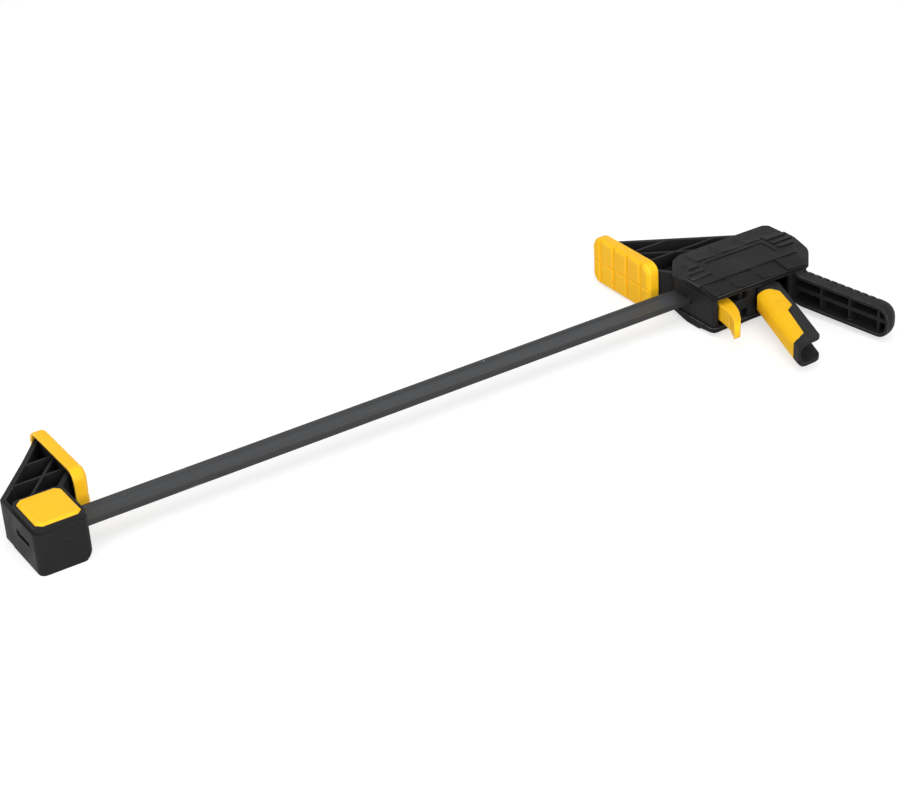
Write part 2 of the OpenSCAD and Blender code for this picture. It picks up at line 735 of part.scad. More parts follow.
// What the notches take off the handle's back
module handle_notches() {
    kept_half = handle_half - notch_d;
    kept_x = handle_depth - notch_d;
    kept_r = handle_round - notch_d;
    difference() {
        for (k = [0:notch_count - 1]) let (y = -(first_notch_y + k * notch_pitch))
            y_prism(rect(handle_depth - handle_round, -handle_w, handle_depth + over, handle_w),
                y - notch_w, y);
        y_prism([[0, -kept_half, 0], [kept_x, -kept_half, kept_r], [kept_x, kept_half, kept_r],
            [0, kept_half, 0]], -handle_l, 0);
    }
}

module handle_body() {
    difference() {
        union() {
            difference() {
                handle_form(0, 0, handle_root_y);
                handle_form(handle_wall, -over, 0);
            }
            intersection() {
                handle_form(0, 0, 0);
                union() {
                    z_prism(web_plan, -web_t / 2, web_t / 2);
                    for (k = [0:handle_ribs - 1]) let (y = -(first_rib_y + k * handle_rib_pitch))
                        z_prism(rect(handle_setback, y, handle_depth, y + rib_t), -handle_half, handle_half);
                }
            }
        }
        handle_notches();
        z_prism(dip_cut, -handle_w, handle_w);
    }
}

// Guide walls, screw posts and brake lugs inside the frame
module frame_walls() {
    intersection() {
        z_prism(frame_outline, -frame_half, frame_half);
        union() {
            for (u = [mid_wall_u, rear_wall_u])
                z_prism(rect(u, -head_front, u + frame_wall, head_rear), -frame_half, frame_half);
            for (p = post_places) rod(p[0], p[1], post_r, -frame_half, frame_half);
            for (u = [brake_u - lug_gap - lug_t, brake_u + steel_t + lug_gap])
                z_prism(rect(u, lug_low_y, u + lug_t, head_rear), -frame_half, frame_half);
        }
    }
}

module frame_body() {
    difference() {
        union() {
            difference() {
                z_prism(frame_outline, -frame_half, frame_half);
                z_prism(frame_inner, -frame_h, frame_h);
            }
            frame_walls();
        }
        bar_window(-over, rear_wall_u - over);
        x_prism(rect(-bar_w / 2 - entry_gap, -bar_half - bar_clear, 0, bar_half + bar_clear), -over,
            mid_wall_u - over);
        x_prism(bar_outline(bar_clear), rear_wall_u - over, rear_wall_u + frame_wall + over);
        bar_window(rear_wall_u + frame_wall + over, head_l + over);
        for (p = post_places) rod(p[0], p[1], screw_d / 2 + seat_clear, -frame_h, frame_h);
        front_opening(release_slot_u, tongue_u, -front_slot_half, front_slot_half);
        for (side = [-1, 1]) scale([1, 1, side])
            front_opening(tongue_u - skin, window_end_u, tongue_half, front_slot_half);
        front_opening(lever_slot_u, handle_u, -lever_slot_half, lever_slot_half);
    }
}

// An opening through the head's front wall
module front_opening(u0, u1, z0, z1) {
    y_prism(rect(u0, z0, u1, z1), -head_front - over, front_in_y + skin);
}

module head_frame() {
    color([0.16, 0.16, 0.17]) difference() {
        union() {
            translate([head_x, 0, 0]) frame_body();
            difference() {
                union() {
                    translate([opening, 0, 0]) jaw_arm(moving_arm, moving_edges, moving_ribs, -arm_half);
                    translate([head_x + handle_u, -head_front, 0]) rotate(handle_lean) handle_body();
                }
                translate([head_x, 0, 0]) z_prism(frame_inner, -frame_h, frame_h);
            }
        }
        for (side = [-1, 1]) scale([1, 1, side]) translate([head_x, 0, 0])
            z_prism(cover_outline, frame_half, frame_h);
    }
}

module moving_jaw_pad() {
    color([1, 0.78, 0.2]) translate([opening, 0, 0]) clamp_pad();
}

// Covers: a plate on a rim, with a raised band, sloped sides with shingles, and short ridges
edge_gap = 1;
shingle_gap = 2;
ridge_u = 2;
ridge_near_y = -11.2;
ridge_far_y = -9.2;
cover_low_z = cover_z - cover_t;
band_z = cover_z + band_h;
front_slope = atan2(front_fall, head_front - band_front);
rear_slope = atan2(rear_fall, head_rear - band_rear);
cover_profile = [[-head_front, cover_low_z, 0], [head_rear, cover_low_z, 0],
    [head_rear, cover_z - rear_fall, 0], [band_rear, cover_z, 0], [band_rear, band_z, 0],
    [-band_front, band_z, 0], [-band_front, cover_z, 0], [-head_front, cover_z - front_fall, 0]];

// A row of shingles, each tall at its near end and level at its far end, on a surface at z = 0
module shingles(y0, y1) {
    for (k = [-1:2]) let (u0 = shingle_u + k * shingle_pitch, u1 = u0 + shingle_pitch)
        y_prism([[u0, -over, 0], [u1, -over, 0], [u1, 0, 0], [u0, shingle_h, 0]], y0, y1);
}

// Three short ridges, each tall on the handle's side and level with the band on the jaw's side
module ridges(u0, y0) {
    for (y = [y0:ridge_pitch:y0 + 2 * ridge_pitch])
        x_prism([[y, band_z - over, 0], [y + ridge_pitch, band_z - over, 0], [y + ridge_pitch, band_z, 0],
            [y, band_z + shingle_h, 0]], u0, u0 + ridge_l);
}

// The slanted facet along a cut corner, from point p to point q of the cover's outline
module corner_facet(p, q) {
    slope = atan2(facet_drop, facet_w);
    edge = q - p;
    translate([p[0], p[1], cover_z - facet_drop]) rotate(atan2(edge[1], edge[0])) rotate([slope, 0, 0])
        translate([-head_l, -head_l, 0]) cube([3 * head_l, 3 * head_l, head_l]);
}

module cover_body() {
    difference() {
        union() {
            intersection() {
                z_prism(cover_outline, cover_low_z, band_z);
                x_prism(cover_profile, -over, head_l + over);
            }
            difference() {
                z_prism(cover_outline, frame_half, cover_low_z);
                z_prism(inset(cover_outline, cover_rim_w), frame_half - over, cover_low_z);
            }
            intersection() {
                z_prism(inset(cover_outline, edge_gap), cover_low_z, band_z + over);
                union() {
                    translate([0, -band_front, cover_z]) rotate([front_slope, 0, 0])
                        shingles(-head_front, 0);
                    translate([0, band_rear, cover_z]) rotate([-rear_slope, 0, 0])
                        shingles(shingle_gap, head_rear - band_rear - 2 * shingle_gap);
                    ridges(ridge_u, ridge_near_y);
                    ridges(head_l - ridge_u - ridge_l, ridge_far_y);
                }
            }
            for (p = post_places) rod(p[0], p[1], post_r, frame_half, cover_low_z + edge_gap);
            rod(pivot_u, pivot_y, eye_r, frame_half, cover_low_z + edge_gap);
        }
        z_prism(rect(label_u, -label_front, label_u + label_l, label_rear), band_z - label_depth,
            band_z + 2 * over);
        corner_facet(flat(cover_outline[4]), flat(cover_outline[5]));
        corner_facet(flat(cover_outline[1]), flat(cover_outline[2]));
        rod(pivot_u, pivot_y, pin_d / 2 + seat_clear, frame_half - over, frame_half + pin_seat);
    }
}

module top_cover() {
    color([0.2, 0.2, 0.21]) translate([head_x, 0, 0]) difference() {
        cover_body();
        for (p = post_places)
            rod(p[0], p[1], screw_d / 2 + seat_clear, frame_half - over, frame_half + pin_seat);
    }
}

screw_seat_z = -(cover_low_z + seat_clear);
module bottom_cover() {
    color([0.2, 0.2, 0.21]) translate([head_x, 0, 0]) difference() {
        mirror([0, 0, 1]) cover_body();
        for (p = post_places) {
            rod(p[0], p[1], screw_d / 2 + seat_clear, -band_z - over, -frame_half + over);
            rod(p[0], p[1], screw_head_d / 2 + bar_clear, -band_z - over, screw_seat_z);
        }
    }
}

module cover_screws() {
    color("silver") translate([head_x, 0, 0]) for (p = post_places) difference() {
        union() {
            rod(p[0], p[1], screw_d / 2, screw_seat_z - skin, frame_half + pin_seat - bar_clear);
            rod(p[0], p[1], screw_head_d / 2, screw_seat_z - screw_head_h, screw_seat_z);
        }
        for (turn = [0, 90]) translate([p[0], p[1], screw_seat_z - screw_head_h]) rotate(turn)
            z_prism(rect(-screw_head_d / 3, -screw_d / 8, screw_head_d / 3, screw_d / 8), -over,
                screw_head_h / 2);
    }
}

module lever_pin() {
    color("silver") rod(head_x + pivot_u, pivot_y, pin_d / 2, -(frame_half + pin_seat - seat_clear),
        frame_half + pin_seat - seat_clear);
}

// Squeeze lever, drawn with its pivot at the origin and its length along -Y
lever_front_top = 64;
lever_front_low = 128;
lever_tip_t = 3.3;
lever_bow = 1;
lever_brow_r = 10;
lever_bow_r = 20;
lever_tip_r = 2;
lever_heel_r = 8.5;
lever_channel_r = 5;
lever_shoulder_r = 4;
cheek_root_t = 5;
cheek_step = 1;
cheek_waist = 40;
cheek_waist_t = 14.6;
cheek_waist_r = 6;
lever_side = [[cheek_root_t, -lever_shoulder + over, lever_shoulder_r], [0, -lever_front_top, lever_brow_r],
    [lever_bow, -lever_front_low, lever_bow_r], [lever_tip_t, -lever_front_l, lever_tip_r],
    [lever_depth, -lever_back_l, lever_heel_r], [lever_depth, -lever_front_top, lever_shoulder_r],
    [lever_depth - cheek_step, -lever_shoulder + over, 0]];

// The rounded front of the lever, and of its core under the grip, keeps a narrow flat in the middle
crown_flat = 0.25;
lever_section = [[0, -lever_half, lever_half - crown_flat], [lever_depth, -lever_half, lever_edge_r],
    [lever_depth, lever_half, lever_edge_r], [0, lever_half, lever_half - crown_flat]];
core_half = lever_half - grip_t;
core_section = [[grip_t, -core_half, core_half - crown_flat], [lever_depth - grip_t, -core_half, 0],
    [lever_depth - grip_t, core_half, 0], [grip_t, core_half, core_half - crown_flat]];
channel_section = [[lever_front_wall, -lever_channel, lever_channel_r],
    [lever_depth + over, -lever_channel, 0], [lever_depth + over, lever_channel, 0],
    [lever_front_wall, lever_channel, lever_channel_r]];
grip_top = 59;
grip_notch = 88;
grip_end = 134.5;
grip_high_t = 18.2;
grip_low_t = 11.8;
grip_slant = 5.5;
grip_taper = 1;
grip_notch_r = 2;
grip_brow_r = 3;
grip_zone = [[-over, -grip_end - grip_taper, 0], [grip_low_t / 2, -grip_end, 0],
    [grip_low_t, -grip_end + grip_slant, 0], [grip_low_t + grip_taper, -grip_notch - grip_slant, 0],
    [grip_high_t, -grip_notch + grip_taper, grip_notch_r],
    [grip_high_t - grip_taper, -grip_top - grip_slant, grip_brow_r],
    [grip_low_t, -grip_top, grip_brow_r], [-over, -grip_top, 0]];
nose_t = nose_ahead * cos(lever_lean) + nose_drop * sin(lever_lean);
nose_s = nose_drop * cos(lever_lean) - nose_ahead * sin(lever_lean);
nose_lap = 0.5;
cheek_side = [[-eye_r * cos(lever_lean), -eye_r / 2, 0], [cheek_root_t - cheek_step, -lever_shoulder, 0],
    [lever_depth - cheek_step, -lever_shoulder, 0], [cheek_waist_t, -cheek_waist, cheek_waist_r],
    [nose_t + nose_pin_r * cos(lever_lean) - nose_lap, -nose_s, 0], [eye_r, 0, 0], [0, eye_r / 2, 0]];

module lever_outer() {
    intersection() {
        z_prism(lever_side, -lever_half, lever_half);
        y_prism(lever_section, -lever_front_l - over, -lever_shoulder + 2 * over);
    }
}

module lever_core() {
    intersection() {
        z_prism(inset(lever_side, grip_t), -core_half, core_half);
        y_prism(core_section, -lever_front_l - over, -lever_shoulder + over);
    }
}

module place_lever() {
    translate([head_x + pivot_u, pivot_y, 0]) rotate(-lever_lean) children();
}

module squeeze_lever() {
    color([0.16, 0.16, 0.17]) place_lever() difference() {
        union() {
            difference() {
                lever_outer();
                z_prism(grip_zone, -lever_w, lever_w);
            }
            lever_core();
            z_prism(cheek_side, -lever_half, lever_half);
            rod(0, 0, eye_r, -lever_half, lever_half);
            rod(nose_t, -nose_s, nose_pin_r, -lever_half, lever_half);
        }
        y_prism(channel_section, -lever_front_l - over, -lever_shoulder + over);
        z_prism(rect(-lever_depth, -lever_shoulder + 2 * over, lever_depth + over, lever_depth),
            -lever_channel, lever_channel);
        rod(0, 0, pin_d / 2 + run_clear, -lever_w, lever_w);
    }
}

module squeeze_grip() {
    color([1, 0.78, 0.2]) place_lever() difference() {
        intersection() {
            lever_outer();
            z_prism(grip_zone, -lever_w, lever_w);
        }
        lever_core();
    }
}

// Drive plates, between the lever's nose and the spring
drive_u = pivot_u + nose_ahead + nose_pin_r + drive_gap;
plate_window_w = bar_w / 2 + plate_clear;
plate_window_t = bar_half + plate_clear;
plate_window = rect(-plate_window_w, -plate_window_t, plate_window_w, plate_window_t);

module drive_plate(u) {
    color("silver") translate([head_x + u, 0, 0]) difference() {
        x_prism(rect(-drive_low, -drive_w / 2, drive_high, drive_w / 2, steel_t / 2), 0, steel_t);
        x_prism(plate_window, -over, steel_t + over);
    }
}

module drive_plate_front() {
    drive_plate(drive_u);
}

module drive_plate_rear() {
    drive_plate(drive_u + steel_t);
}

spring_y = -(bar_w / 2 + leg_gap + spring_d / 2);
module drive_spring() {
    u0 = drive_u + 2 * steel_t;
    color("gainsboro") translate([head_x + u0, spring_y, 0]) rotate([0, 90, 0])
        coil_spring(spring_d, rear_wall_u - u0);
}

// Brake plate, with a tongue that the release lever is moulded on
tongue_top_y = -(bar_w / 2 + leg_gap + spring_d + over);
tongue_w = 9;
hook_lap = 1;
module brake_plate() {
    color("silver") translate([head_x + brake_u, 0, 0]) difference() {
        union() {
            x_prism(rect(tongue_top_y, -brake_w / 2, brake_high, brake_w / 2, steel_t / 2), 0, steel_t);
            x_prism(rect(-brake_low, -tongue_w / 2, tongue_top_y + steel_t, tongue_w / 2), 0, steel_t);
        }
        x_prism(plate_window, -over, steel_t + over);
    }
}

// Release lever: a hook that curves away from the squeeze lever
hook_root_y = -28;
hook_top_y = tongue_top_y - hook_lap;
hook_left_u = 7.5;
hook_bend_y = -53.5;
hook_tip_u = -5.5;
hook_steps = 8;
hook_left_bow = 1;
hook_right_bow = 3;
hook_shoulder = 1;
hook_tip_flat = 0.5;
release_half = release_w / 2;
hook_right_u = hook_left_u + release_root_w;
hook_left = bend([hook_left_u, hook_root_y], [hook_left_u - hook_left_bow, hook_bend_y],
    [hook_tip_u, -release_reach], hook_steps);
hook_right = bend([hook_tip_u + release_tip_w, -release_reach], [hook_right_u - hook_right_bow, hook_bend_y],
    [hook_right_u, hook_root_y], hook_steps);
hook_outline = [for (p = concat(hook_left, hook_right, [[hook_right_u - hook_shoulder, hook_top_y],
    [hook_left_u, hook_top_y]])) [p[0], p[1], 0]];
hook_end = [[-release_reach, -release_half, release_half - hook_tip_flat], [0, -release_half, 0],
    [0, release_half, 0], [-release_reach, release_half, release_half - hook_tip_flat]];

module release_lever() {
    color([1, 0.76, 0.16]) translate([head_x, 0, 0]) difference() {
        intersection() {
            z_prism(hook_outline, -release_half, release_half);
            x_prism(hook_end, hook_tip_u - over, hook_right_u + over);
        }
        x_prism(rect(-brake_low, -tongue_w / 2, 0, tongue_w / 2), brake_u, brake_u + steel_t);
    }
}

module brake_spring() {
    u0 = brake_u + steel_t;
    color("gainsboro") translate([head_x + u0, spring_y, 0]) rotate([0, 90, 0])
        coil_spring(spring_d, mid_wall_u - u0);
}

bar();
bar_stop_pin();
fixed_jaw_frame();
fixed_jaw_pad();
jaw_button();
lock_peg();
button_spring();
head_frame();
moving_jaw_pad();
top_cover();
bottom_cover();
cover_screws();
lever_pin();
squeeze_lever();
squeeze_grip();
drive_plate_front();
drive_plate_rear();
drive_spring();
brake_plate();
release_lever();
brake_spring();
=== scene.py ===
"""Dressed scene of a one-handed quick release bar clamp that lies on its side.

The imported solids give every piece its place.  Each sub-assembly is a class that copies the
solids it shows, rounds their edges and gives them a finish, in metres and in the solids' own
frame: X along the bar from the fixed jaw to the head, Y towards the jaws, Z up.
"""

import logging
import math
from collections.abc import Iterator
from contextlib import contextmanager
from dataclasses import dataclass
from enum import Enum
from typing import Any

import bmesh
import bpy
from mathutils import Matrix, Vector
from mathutils.bvhtree import BVHTree
from mathutils.kdtree import KDTree


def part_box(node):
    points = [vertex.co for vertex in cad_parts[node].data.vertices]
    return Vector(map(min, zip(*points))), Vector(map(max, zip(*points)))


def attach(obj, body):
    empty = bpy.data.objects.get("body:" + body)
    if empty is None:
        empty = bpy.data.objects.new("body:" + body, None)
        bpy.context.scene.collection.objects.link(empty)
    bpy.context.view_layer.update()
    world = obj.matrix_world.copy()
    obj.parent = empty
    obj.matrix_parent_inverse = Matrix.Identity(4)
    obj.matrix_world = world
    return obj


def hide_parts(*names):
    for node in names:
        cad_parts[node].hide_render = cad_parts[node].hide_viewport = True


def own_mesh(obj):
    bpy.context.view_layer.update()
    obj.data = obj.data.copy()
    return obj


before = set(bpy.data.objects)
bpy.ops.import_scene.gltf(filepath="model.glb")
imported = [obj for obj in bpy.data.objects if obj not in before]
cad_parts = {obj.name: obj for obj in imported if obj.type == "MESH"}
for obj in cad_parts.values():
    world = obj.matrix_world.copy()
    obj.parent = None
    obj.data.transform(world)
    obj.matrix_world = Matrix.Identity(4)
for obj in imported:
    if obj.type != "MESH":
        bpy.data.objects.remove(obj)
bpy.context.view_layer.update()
MM = 0.001
LOG = logging.getLogger("bar_clamp")

Triple = tuple[float, float, float]
Colour = Triple


def srgb(red: int, green: int, blue: int) -> Colour:
    """Turns a colour written in display values into the linear values that shaders use.

    Args:
        red: Red from 0 to 255.
        green: Green from 0 to 255.
        blue: Blue from 0 to 255.

    Returns:
        The linear colour.
    """
    def linear(value: float) -> float:
        """Turns one channel into its linear value."""
        share = value / 255
        return share / 12.92 if share <= 0.04045 else ((share + 0.055) / 1.055) ** 2.4

    return linear(red), linear(green), linear(blue)


class Slot(Enum):
    """The record's material slots."""

    PAINTED_STEEL = "painted_steel"
    BLACK_PLASTIC = "black_plastic"
    COVER_PLASTIC = "cover_plastic"
    YELLOW_PLASTIC = "yellow_plastic"
    GRIP_RUBBER = "grip_rubber"
    BRIGHT_STEEL = "bright_steel"
    SPRING_STEEL = "spring_steel"


class Body(Enum):
    """The bodies that the scene's own pieces move with."""

    BAR = "bar_and_fixed_jaw"
    BUTTON = "jaw_button"
    HEAD = "head"
    LEVER = "squeeze_lever"
    RELEASE = "release_lever"


def add_object(name: str, data: bpy.types.ID) -> bpy.types.Object:
    """Puts a new object in the scene.

    Args:
        name: The object's name.
        data: Its mesh, lamp or camera.

    Returns:
        The object.
    """
    made = bpy.data.objects.new(name, data)
    bpy.context.scene.collection.objects.link(made)
    return made


@contextmanager
def edited(mesh: bpy.types.Mesh) -> Iterator[bmesh.types.BMesh]:
    """Opens a mesh for changes and writes them back at the end.

    Args:
        mesh: The mesh.

    Yields:
        The open mesh.
    """
    work = bmesh.new()
    work.from_mesh(mesh)
    yield work
    work.to_mesh(mesh)
    work.free()


def settle(piece: bpy.types.Object) -> None:
    """Turns what a piece's modifiers make into its own plain mesh.

    Args:
        piece: The object.
    """
    bpy.context.view_layer.update()
    seen = piece.evaluated_get(bpy.context.evaluated_depsgraph_get())
    mesh = bpy.data.meshes.new_from_object(seen)
    piece.modifiers.clear()
    old = piece.data
    piece.data = mesh
    mesh.name = piece.name
    if old.users == 0:
        bpy.data.meshes.remove(old)


def near_tree(points: list[Vector]) -> KDTree:
    """Makes a tree that finds the nearest of some points.

    Args:
        points: The points.

    Returns:
        The tree, which numbers the points as they come.
    """
    tree = KDTree(len(points))
    for index, point in enumerate(points):
        tree.insert(point, index)
    tree.balance()
    return tree


class NodeGraph:
    """A node tree, with short calls that add nodes and link their inputs."""

    def __init__(self, tree: bpy.types.NodeTree) -> None:
        """Empties the tree.

        Args:
            tree: The tree.
        """
        self.tree = tree
        tree.nodes.clear()

    def node(self, kind: str, inputs: dict[Any, Any] | None = None,
             **settings: Any) -> bpy.types.Node:
        """Adds a node.

        Args:
            kind: The node's type.
            inputs: Values or sockets for the node's inputs, by name or number; a list gives one
                input several links.
            **settings: The node's own settings.

        Returns:
            The node.
        """
        made = self.tree.nodes.new(kind)
        for key, value in settings.items():
            setattr(made, key, value)
        for key, value in (inputs or {}).items():
            if isinstance(value, (bpy.types.NodeSocket, list)):
                for socket in value if isinstance(value, list) else [value]:
                    self.tree.links.new(socket, made.inputs[key])
            else:
                made.inputs[key].default_value = value
        return made

    def math(self, kind: str, first: Any, second: Any = 0.0) -> bpy.types.NodeSocket:
        """Adds a sum, a product or the like.

        Args:
            kind: The operation.
            first: The first value or socket.
            second: The second value or socket.

        Returns:
            The result.
        """
        return self.node("ShaderNodeMath", {0: first, 1: second}, operation=kind).outputs[0]

    def seen_directly(self) -> bpy.types.NodeSocket:
        """Tells whether a ray comes from the camera, off a gloss or through glass."""
        path = self.node("ShaderNodeLightPath").outputs
        seen = path["Is Camera Ray"]
        for ray in ("Is Glossy Ray", "Is Transmission Ray"):
            seen = self.math("MAXIMUM", seen, path[ray])
        return seen


class ShaderGraph(NodeGraph):
    """A material's node tree, with patterns on the piece's own coordinates."""

    def __init__(self, name: str) -> None:
        """Starts a new material.

        Args:
            name: The material's name.
        """
        self.material = bpy.data.materials.new(name)
        self.material.use_nodes = True
        super().__init__(self.material.node_tree)
        self.object_point = self.node("ShaderNodeTexCoord").outputs["Object"]

    def noise(self, scale: float, detail: float = 2.0, stretch: Triple = (1, 1, 1),
              rough: float = 0.5, shift: float = 0.0) -> bpy.types.NodeSocket:
        """Adds a noise pattern on object coordinates.

        Args:
            scale: How many features there are in a metre.
            detail: How many finer octaves are added.
            stretch: How much denser the pattern is along each axis.
            rough: How strong the finer octaves are.
            shift: How far the pattern is moved, to make it a different one.

        Returns:
            The pattern's value, around one half.
        """
        place = self.node("ShaderNodeMapping", {"Vector": self.object_point,
                          "Location": (shift, shift, shift), "Scale": stretch})
        return self.node("ShaderNodeTexNoise", {"Vector": place.outputs[0], "Scale": scale,
                         "Detail": detail, "Roughness": rough}).outputs["Fac"]

    def ramp(self, value: bpy.types.NodeSocket, low: float, high: float, start: float = 0.0,
             end: float = 1.0) -> bpy.types.NodeSocket:
        """Maps a range of a value onto another range, smoothly.

        Args:
            value: The value to map.
            low: Where the range begins.
            high: Where the range ends.
            start: What the beginning becomes.
            end: What the end becomes.

        Returns:
            The mapped value.
        """
        return self.node("ShaderNodeMapRange", {"Value": value, "From Min": low,
                         "From Max": high, "To Min": start, "To Max": end},
                         interpolation_type="SMOOTHSTEP").outputs[0]

    def part(self, share: float, value: bpy.types.NodeSocket) -> bpy.types.NodeSocket:
        """Takes a share of a value.

        Args:
            share: The share.
            value: The value.

        Returns:
            That share of the value.
        """
        return self.math("MULTIPLY", value, share)

    def mix(self, share: Any, first: Any, second: Any) -> bpy.types.NodeSocket:
        """Mixes two colours.

        Args:
            share: How much there is of the second colour.
            first: The first colour.
            second: The second colour.

        Returns:
            The mixed colour.
        """
        full = [c if isinstance(c, bpy.types.NodeSocket) else (*c, 1.0) for c in (first, second)]
        return self.node("ShaderNodeMix", {0: share, 6: full[0], 7: full[1]},
                         data_type="RGBA").outputs[2]

    def edge(self) -> bpy.types.NodeSocket:
        """Reads how near a point is to a rounded outer edge."""
        return self.node("ShaderNodeAttribute", attribute_name="edge").outputs["Fac"]

    def axis(self, name: str) -> bpy.types.NodeSocket:
        """Reads one coordinate of the point, in metres."""
        return self.node("ShaderNodeSeparateXYZ", {0: self.object_point}).outputs[name]

    def bump(self, height: bpy.types.NodeSocket, depth: float,
             strength: float = 1.0) -> bpy.types.NodeSocket:
        """Adds a bump.

        Args:
            height: The pattern that stands out.
            depth: How far it stands out, in metres.
            strength: How much of the bump is used.

        Returns:
            The bumped normal.
        """
        return self.node("ShaderNodeBump", {"Height": height, "Distance": depth,
                         "Strength": strength}).outputs[0]

    def surface(self, inputs: dict[str, Any]) -> bpy.types.Material:
        """Ends the tree with one surface shader.

        Args:
            inputs: Values or sockets for the shader's inputs.

        Returns:
            The finished material.
        """
        shader = self.node("ShaderNodeBsdfPrincipled", inputs)
        self.node("ShaderNodeOutputMaterial", {"Surface": shader.outputs[0]})
        return self.material


class FormGraph(NodeGraph):
    """A Geometry Nodes tree that makes one form from its named inputs."""

    def __init__(self, name: str) -> None:
        """Starts a new tree.

        Args:
            name: The tree's name.
        """
        super().__init__(bpy.data.node_groups.new(name, "GeometryNodeTree"))
        self.entry = self.node("NodeGroupInput")
        self.keys: dict[str, str] = {}

    def input(self, name: str, kind: str) -> bpy.types.NodeSocket:
        """Adds a named input.

        Args:
            name: The input's name.
            kind: The type of its socket.

        Returns:
            The socket that gives its value.
        """
        made = self.tree.interface.new_socket(name, in_out="INPUT", socket_type=kind)
        self.keys[name] = made.identifier
        return self.entry.outputs[name]

    def end(self, form: bpy.types.NodeSocket, finish: bpy.types.NodeSocket) -> None:
        """Ends the tree with real geometry and a material.

        Args:
            form: The geometry.
            finish: The material's socket.
        """
        self.tree.interface.new_socket("Geometry", in_out="OUTPUT",
                                       socket_type="NodeSocketGeometry")
        real = self.node("GeometryNodeRealizeInstances", {0: form})
        dressed = self.node("GeometryNodeSetMaterial", {"Geometry": real.outputs[0],
                            "Material": finish})
        self.node("NodeGroupOutput", {0: dressed.outputs[0]})

    def grow(self, name: str, values: dict[str, Any]) -> bpy.types.Object:
        """Makes a piece from the tree.

        Args:
            name: The piece's name.
            values: A value for each named input.

        Returns:
            The piece, as a plain mesh.
        """
        piece = add_object(name, bpy.data.meshes.new(name))
        form = piece.modifiers.new("form", "NODES")
        form.node_group = self.tree
        for key, value in values.items():
            form[self.keys[key]] = value
        settle(piece)
        return piece


class Finish:
    """A finish that is built once and given to any number of pieces."""

    made: dict[str, bpy.types.Material] = {}
    name: str

    def build(self) -> bpy.types.Material:
        """Builds the material; each finish says how."""
        raise NotImplementedError

    def material(self) -> bpy.types.Material:
        """Returns the material, built at its first use."""
        if self.name not in Finish.made:
            Finish.made[self.name] = self.build()
        return Finish.made[self.name]

    def dress(self, piece: bpy.types.Object) -> None:
        """Makes this the only finish of a piece."""
        piece.data.materials.clear()
        piece.data.materials.append(self.material())


@dataclass(frozen=True)
class MouldedPlastic(Finish):
    """Moulded plastic with a fine spark-eroded grain, faint flow marks and a painted highlight on
    its outer edges.

    Attributes:
        name: The material's name.
        colour: The plastic's own colour.
        deep: The colour in the darker flow marks.
        grain_and_highlight: The colour of the pale grain and of the painted highlight on outer
            edges.
        roughness: The middle roughness.
        grain: The size of the grain, in metres.
        grain_depth: The depth of the grain, in metres.
        specular: The strength of the shine.
        edge_highlight: How much painted highlight the rounded outer edges show.
        scatter: How much light the plastic scatters below its surface.
        scatter_depth: How deep the light goes, in metres.
        scatter_colour: How far red, green and blue go, as shares of that.
        flow_share: How much of the deep colour the flow marks show.
        grain_share: How much of the pale colour the grain shows.
        least_highlight: How much of the painted edge highlight is left where it is least.
        smudge: How far handling raises and lowers the roughness.
        polish: How much smoother the edges under the painted highlight are.
    """

    name: str
    colour: Colour
    deep: Colour
    grain_and_highlight: Colour
    roughness: float
    grain: float = 0.0006
    grain_depth: float = 0.00002
    specular: float = 0.5
    edge_highlight: float = 0.5
    scatter: float = 0.0
    scatter_depth: float = 0.002
    scatter_colour: Colour = (1.0, 0.55, 0.2)
    flow_share: float = 0.6
    grain_share: float = 0.03
    least_highlight: float = 0.35
    smudge: float = 0.05
    polish: float = 0.12

    def build(self) -> bpy.types.Material:
        """Builds the plastic."""
        graph = ShaderGraph(self.name)
        flow = graph.ramp(graph.noise(scale=22, detail=3, stretch=(1, 1.6, 1)), low=0.3, high=0.72)
        speck = graph.ramp(graph.noise(scale=1 / self.grain, shift=3), low=0.35, high=0.65)
        hands = graph.noise(scale=60, detail=4, stretch=(0.6, 1, 1), rough=0.6, shift=7)
        # Painted highlight along the rounded outer edges, broken up by noise into softer and
        # brighter stretches
        highlight_breakup = graph.ramp(graph.noise(scale=160, detail=3, shift=5), low=0.3, high=0.6,
                          start=self.least_highlight * self.edge_highlight, end=self.edge_highlight)
        painted_highlight = graph.math("MULTIPLY", graph.edge(), highlight_breakup)
        base = graph.mix(graph.part(self.flow_share, flow), self.colour, self.deep)
        base = graph.mix(graph.part(self.grain_share, speck), base, self.grain_and_highlight)
        base = graph.mix(painted_highlight, base, self.grain_and_highlight)
        rough = graph.ramp(graph.ramp(hands, low=0.35, high=0.7), low=0, high=1,
                           start=self.roughness + self.smudge, end=self.roughness - self.smudge)
        rough = graph.math("SUBTRACT", rough, graph.part(self.polish, painted_highlight))
        inputs = {"Base Color": base, "Roughness": rough, "Specular IOR Level": self.specular,
                  "Normal": graph.bump(speck, self.grain_depth)}
        if self.scatter > 0:
            inputs |= {"Subsurface Weight": self.scatter, "Subsurface Scale": self.scatter_depth,
                       "Subsurface Radius": self.scatter_colour}
        return graph.surface(inputs)


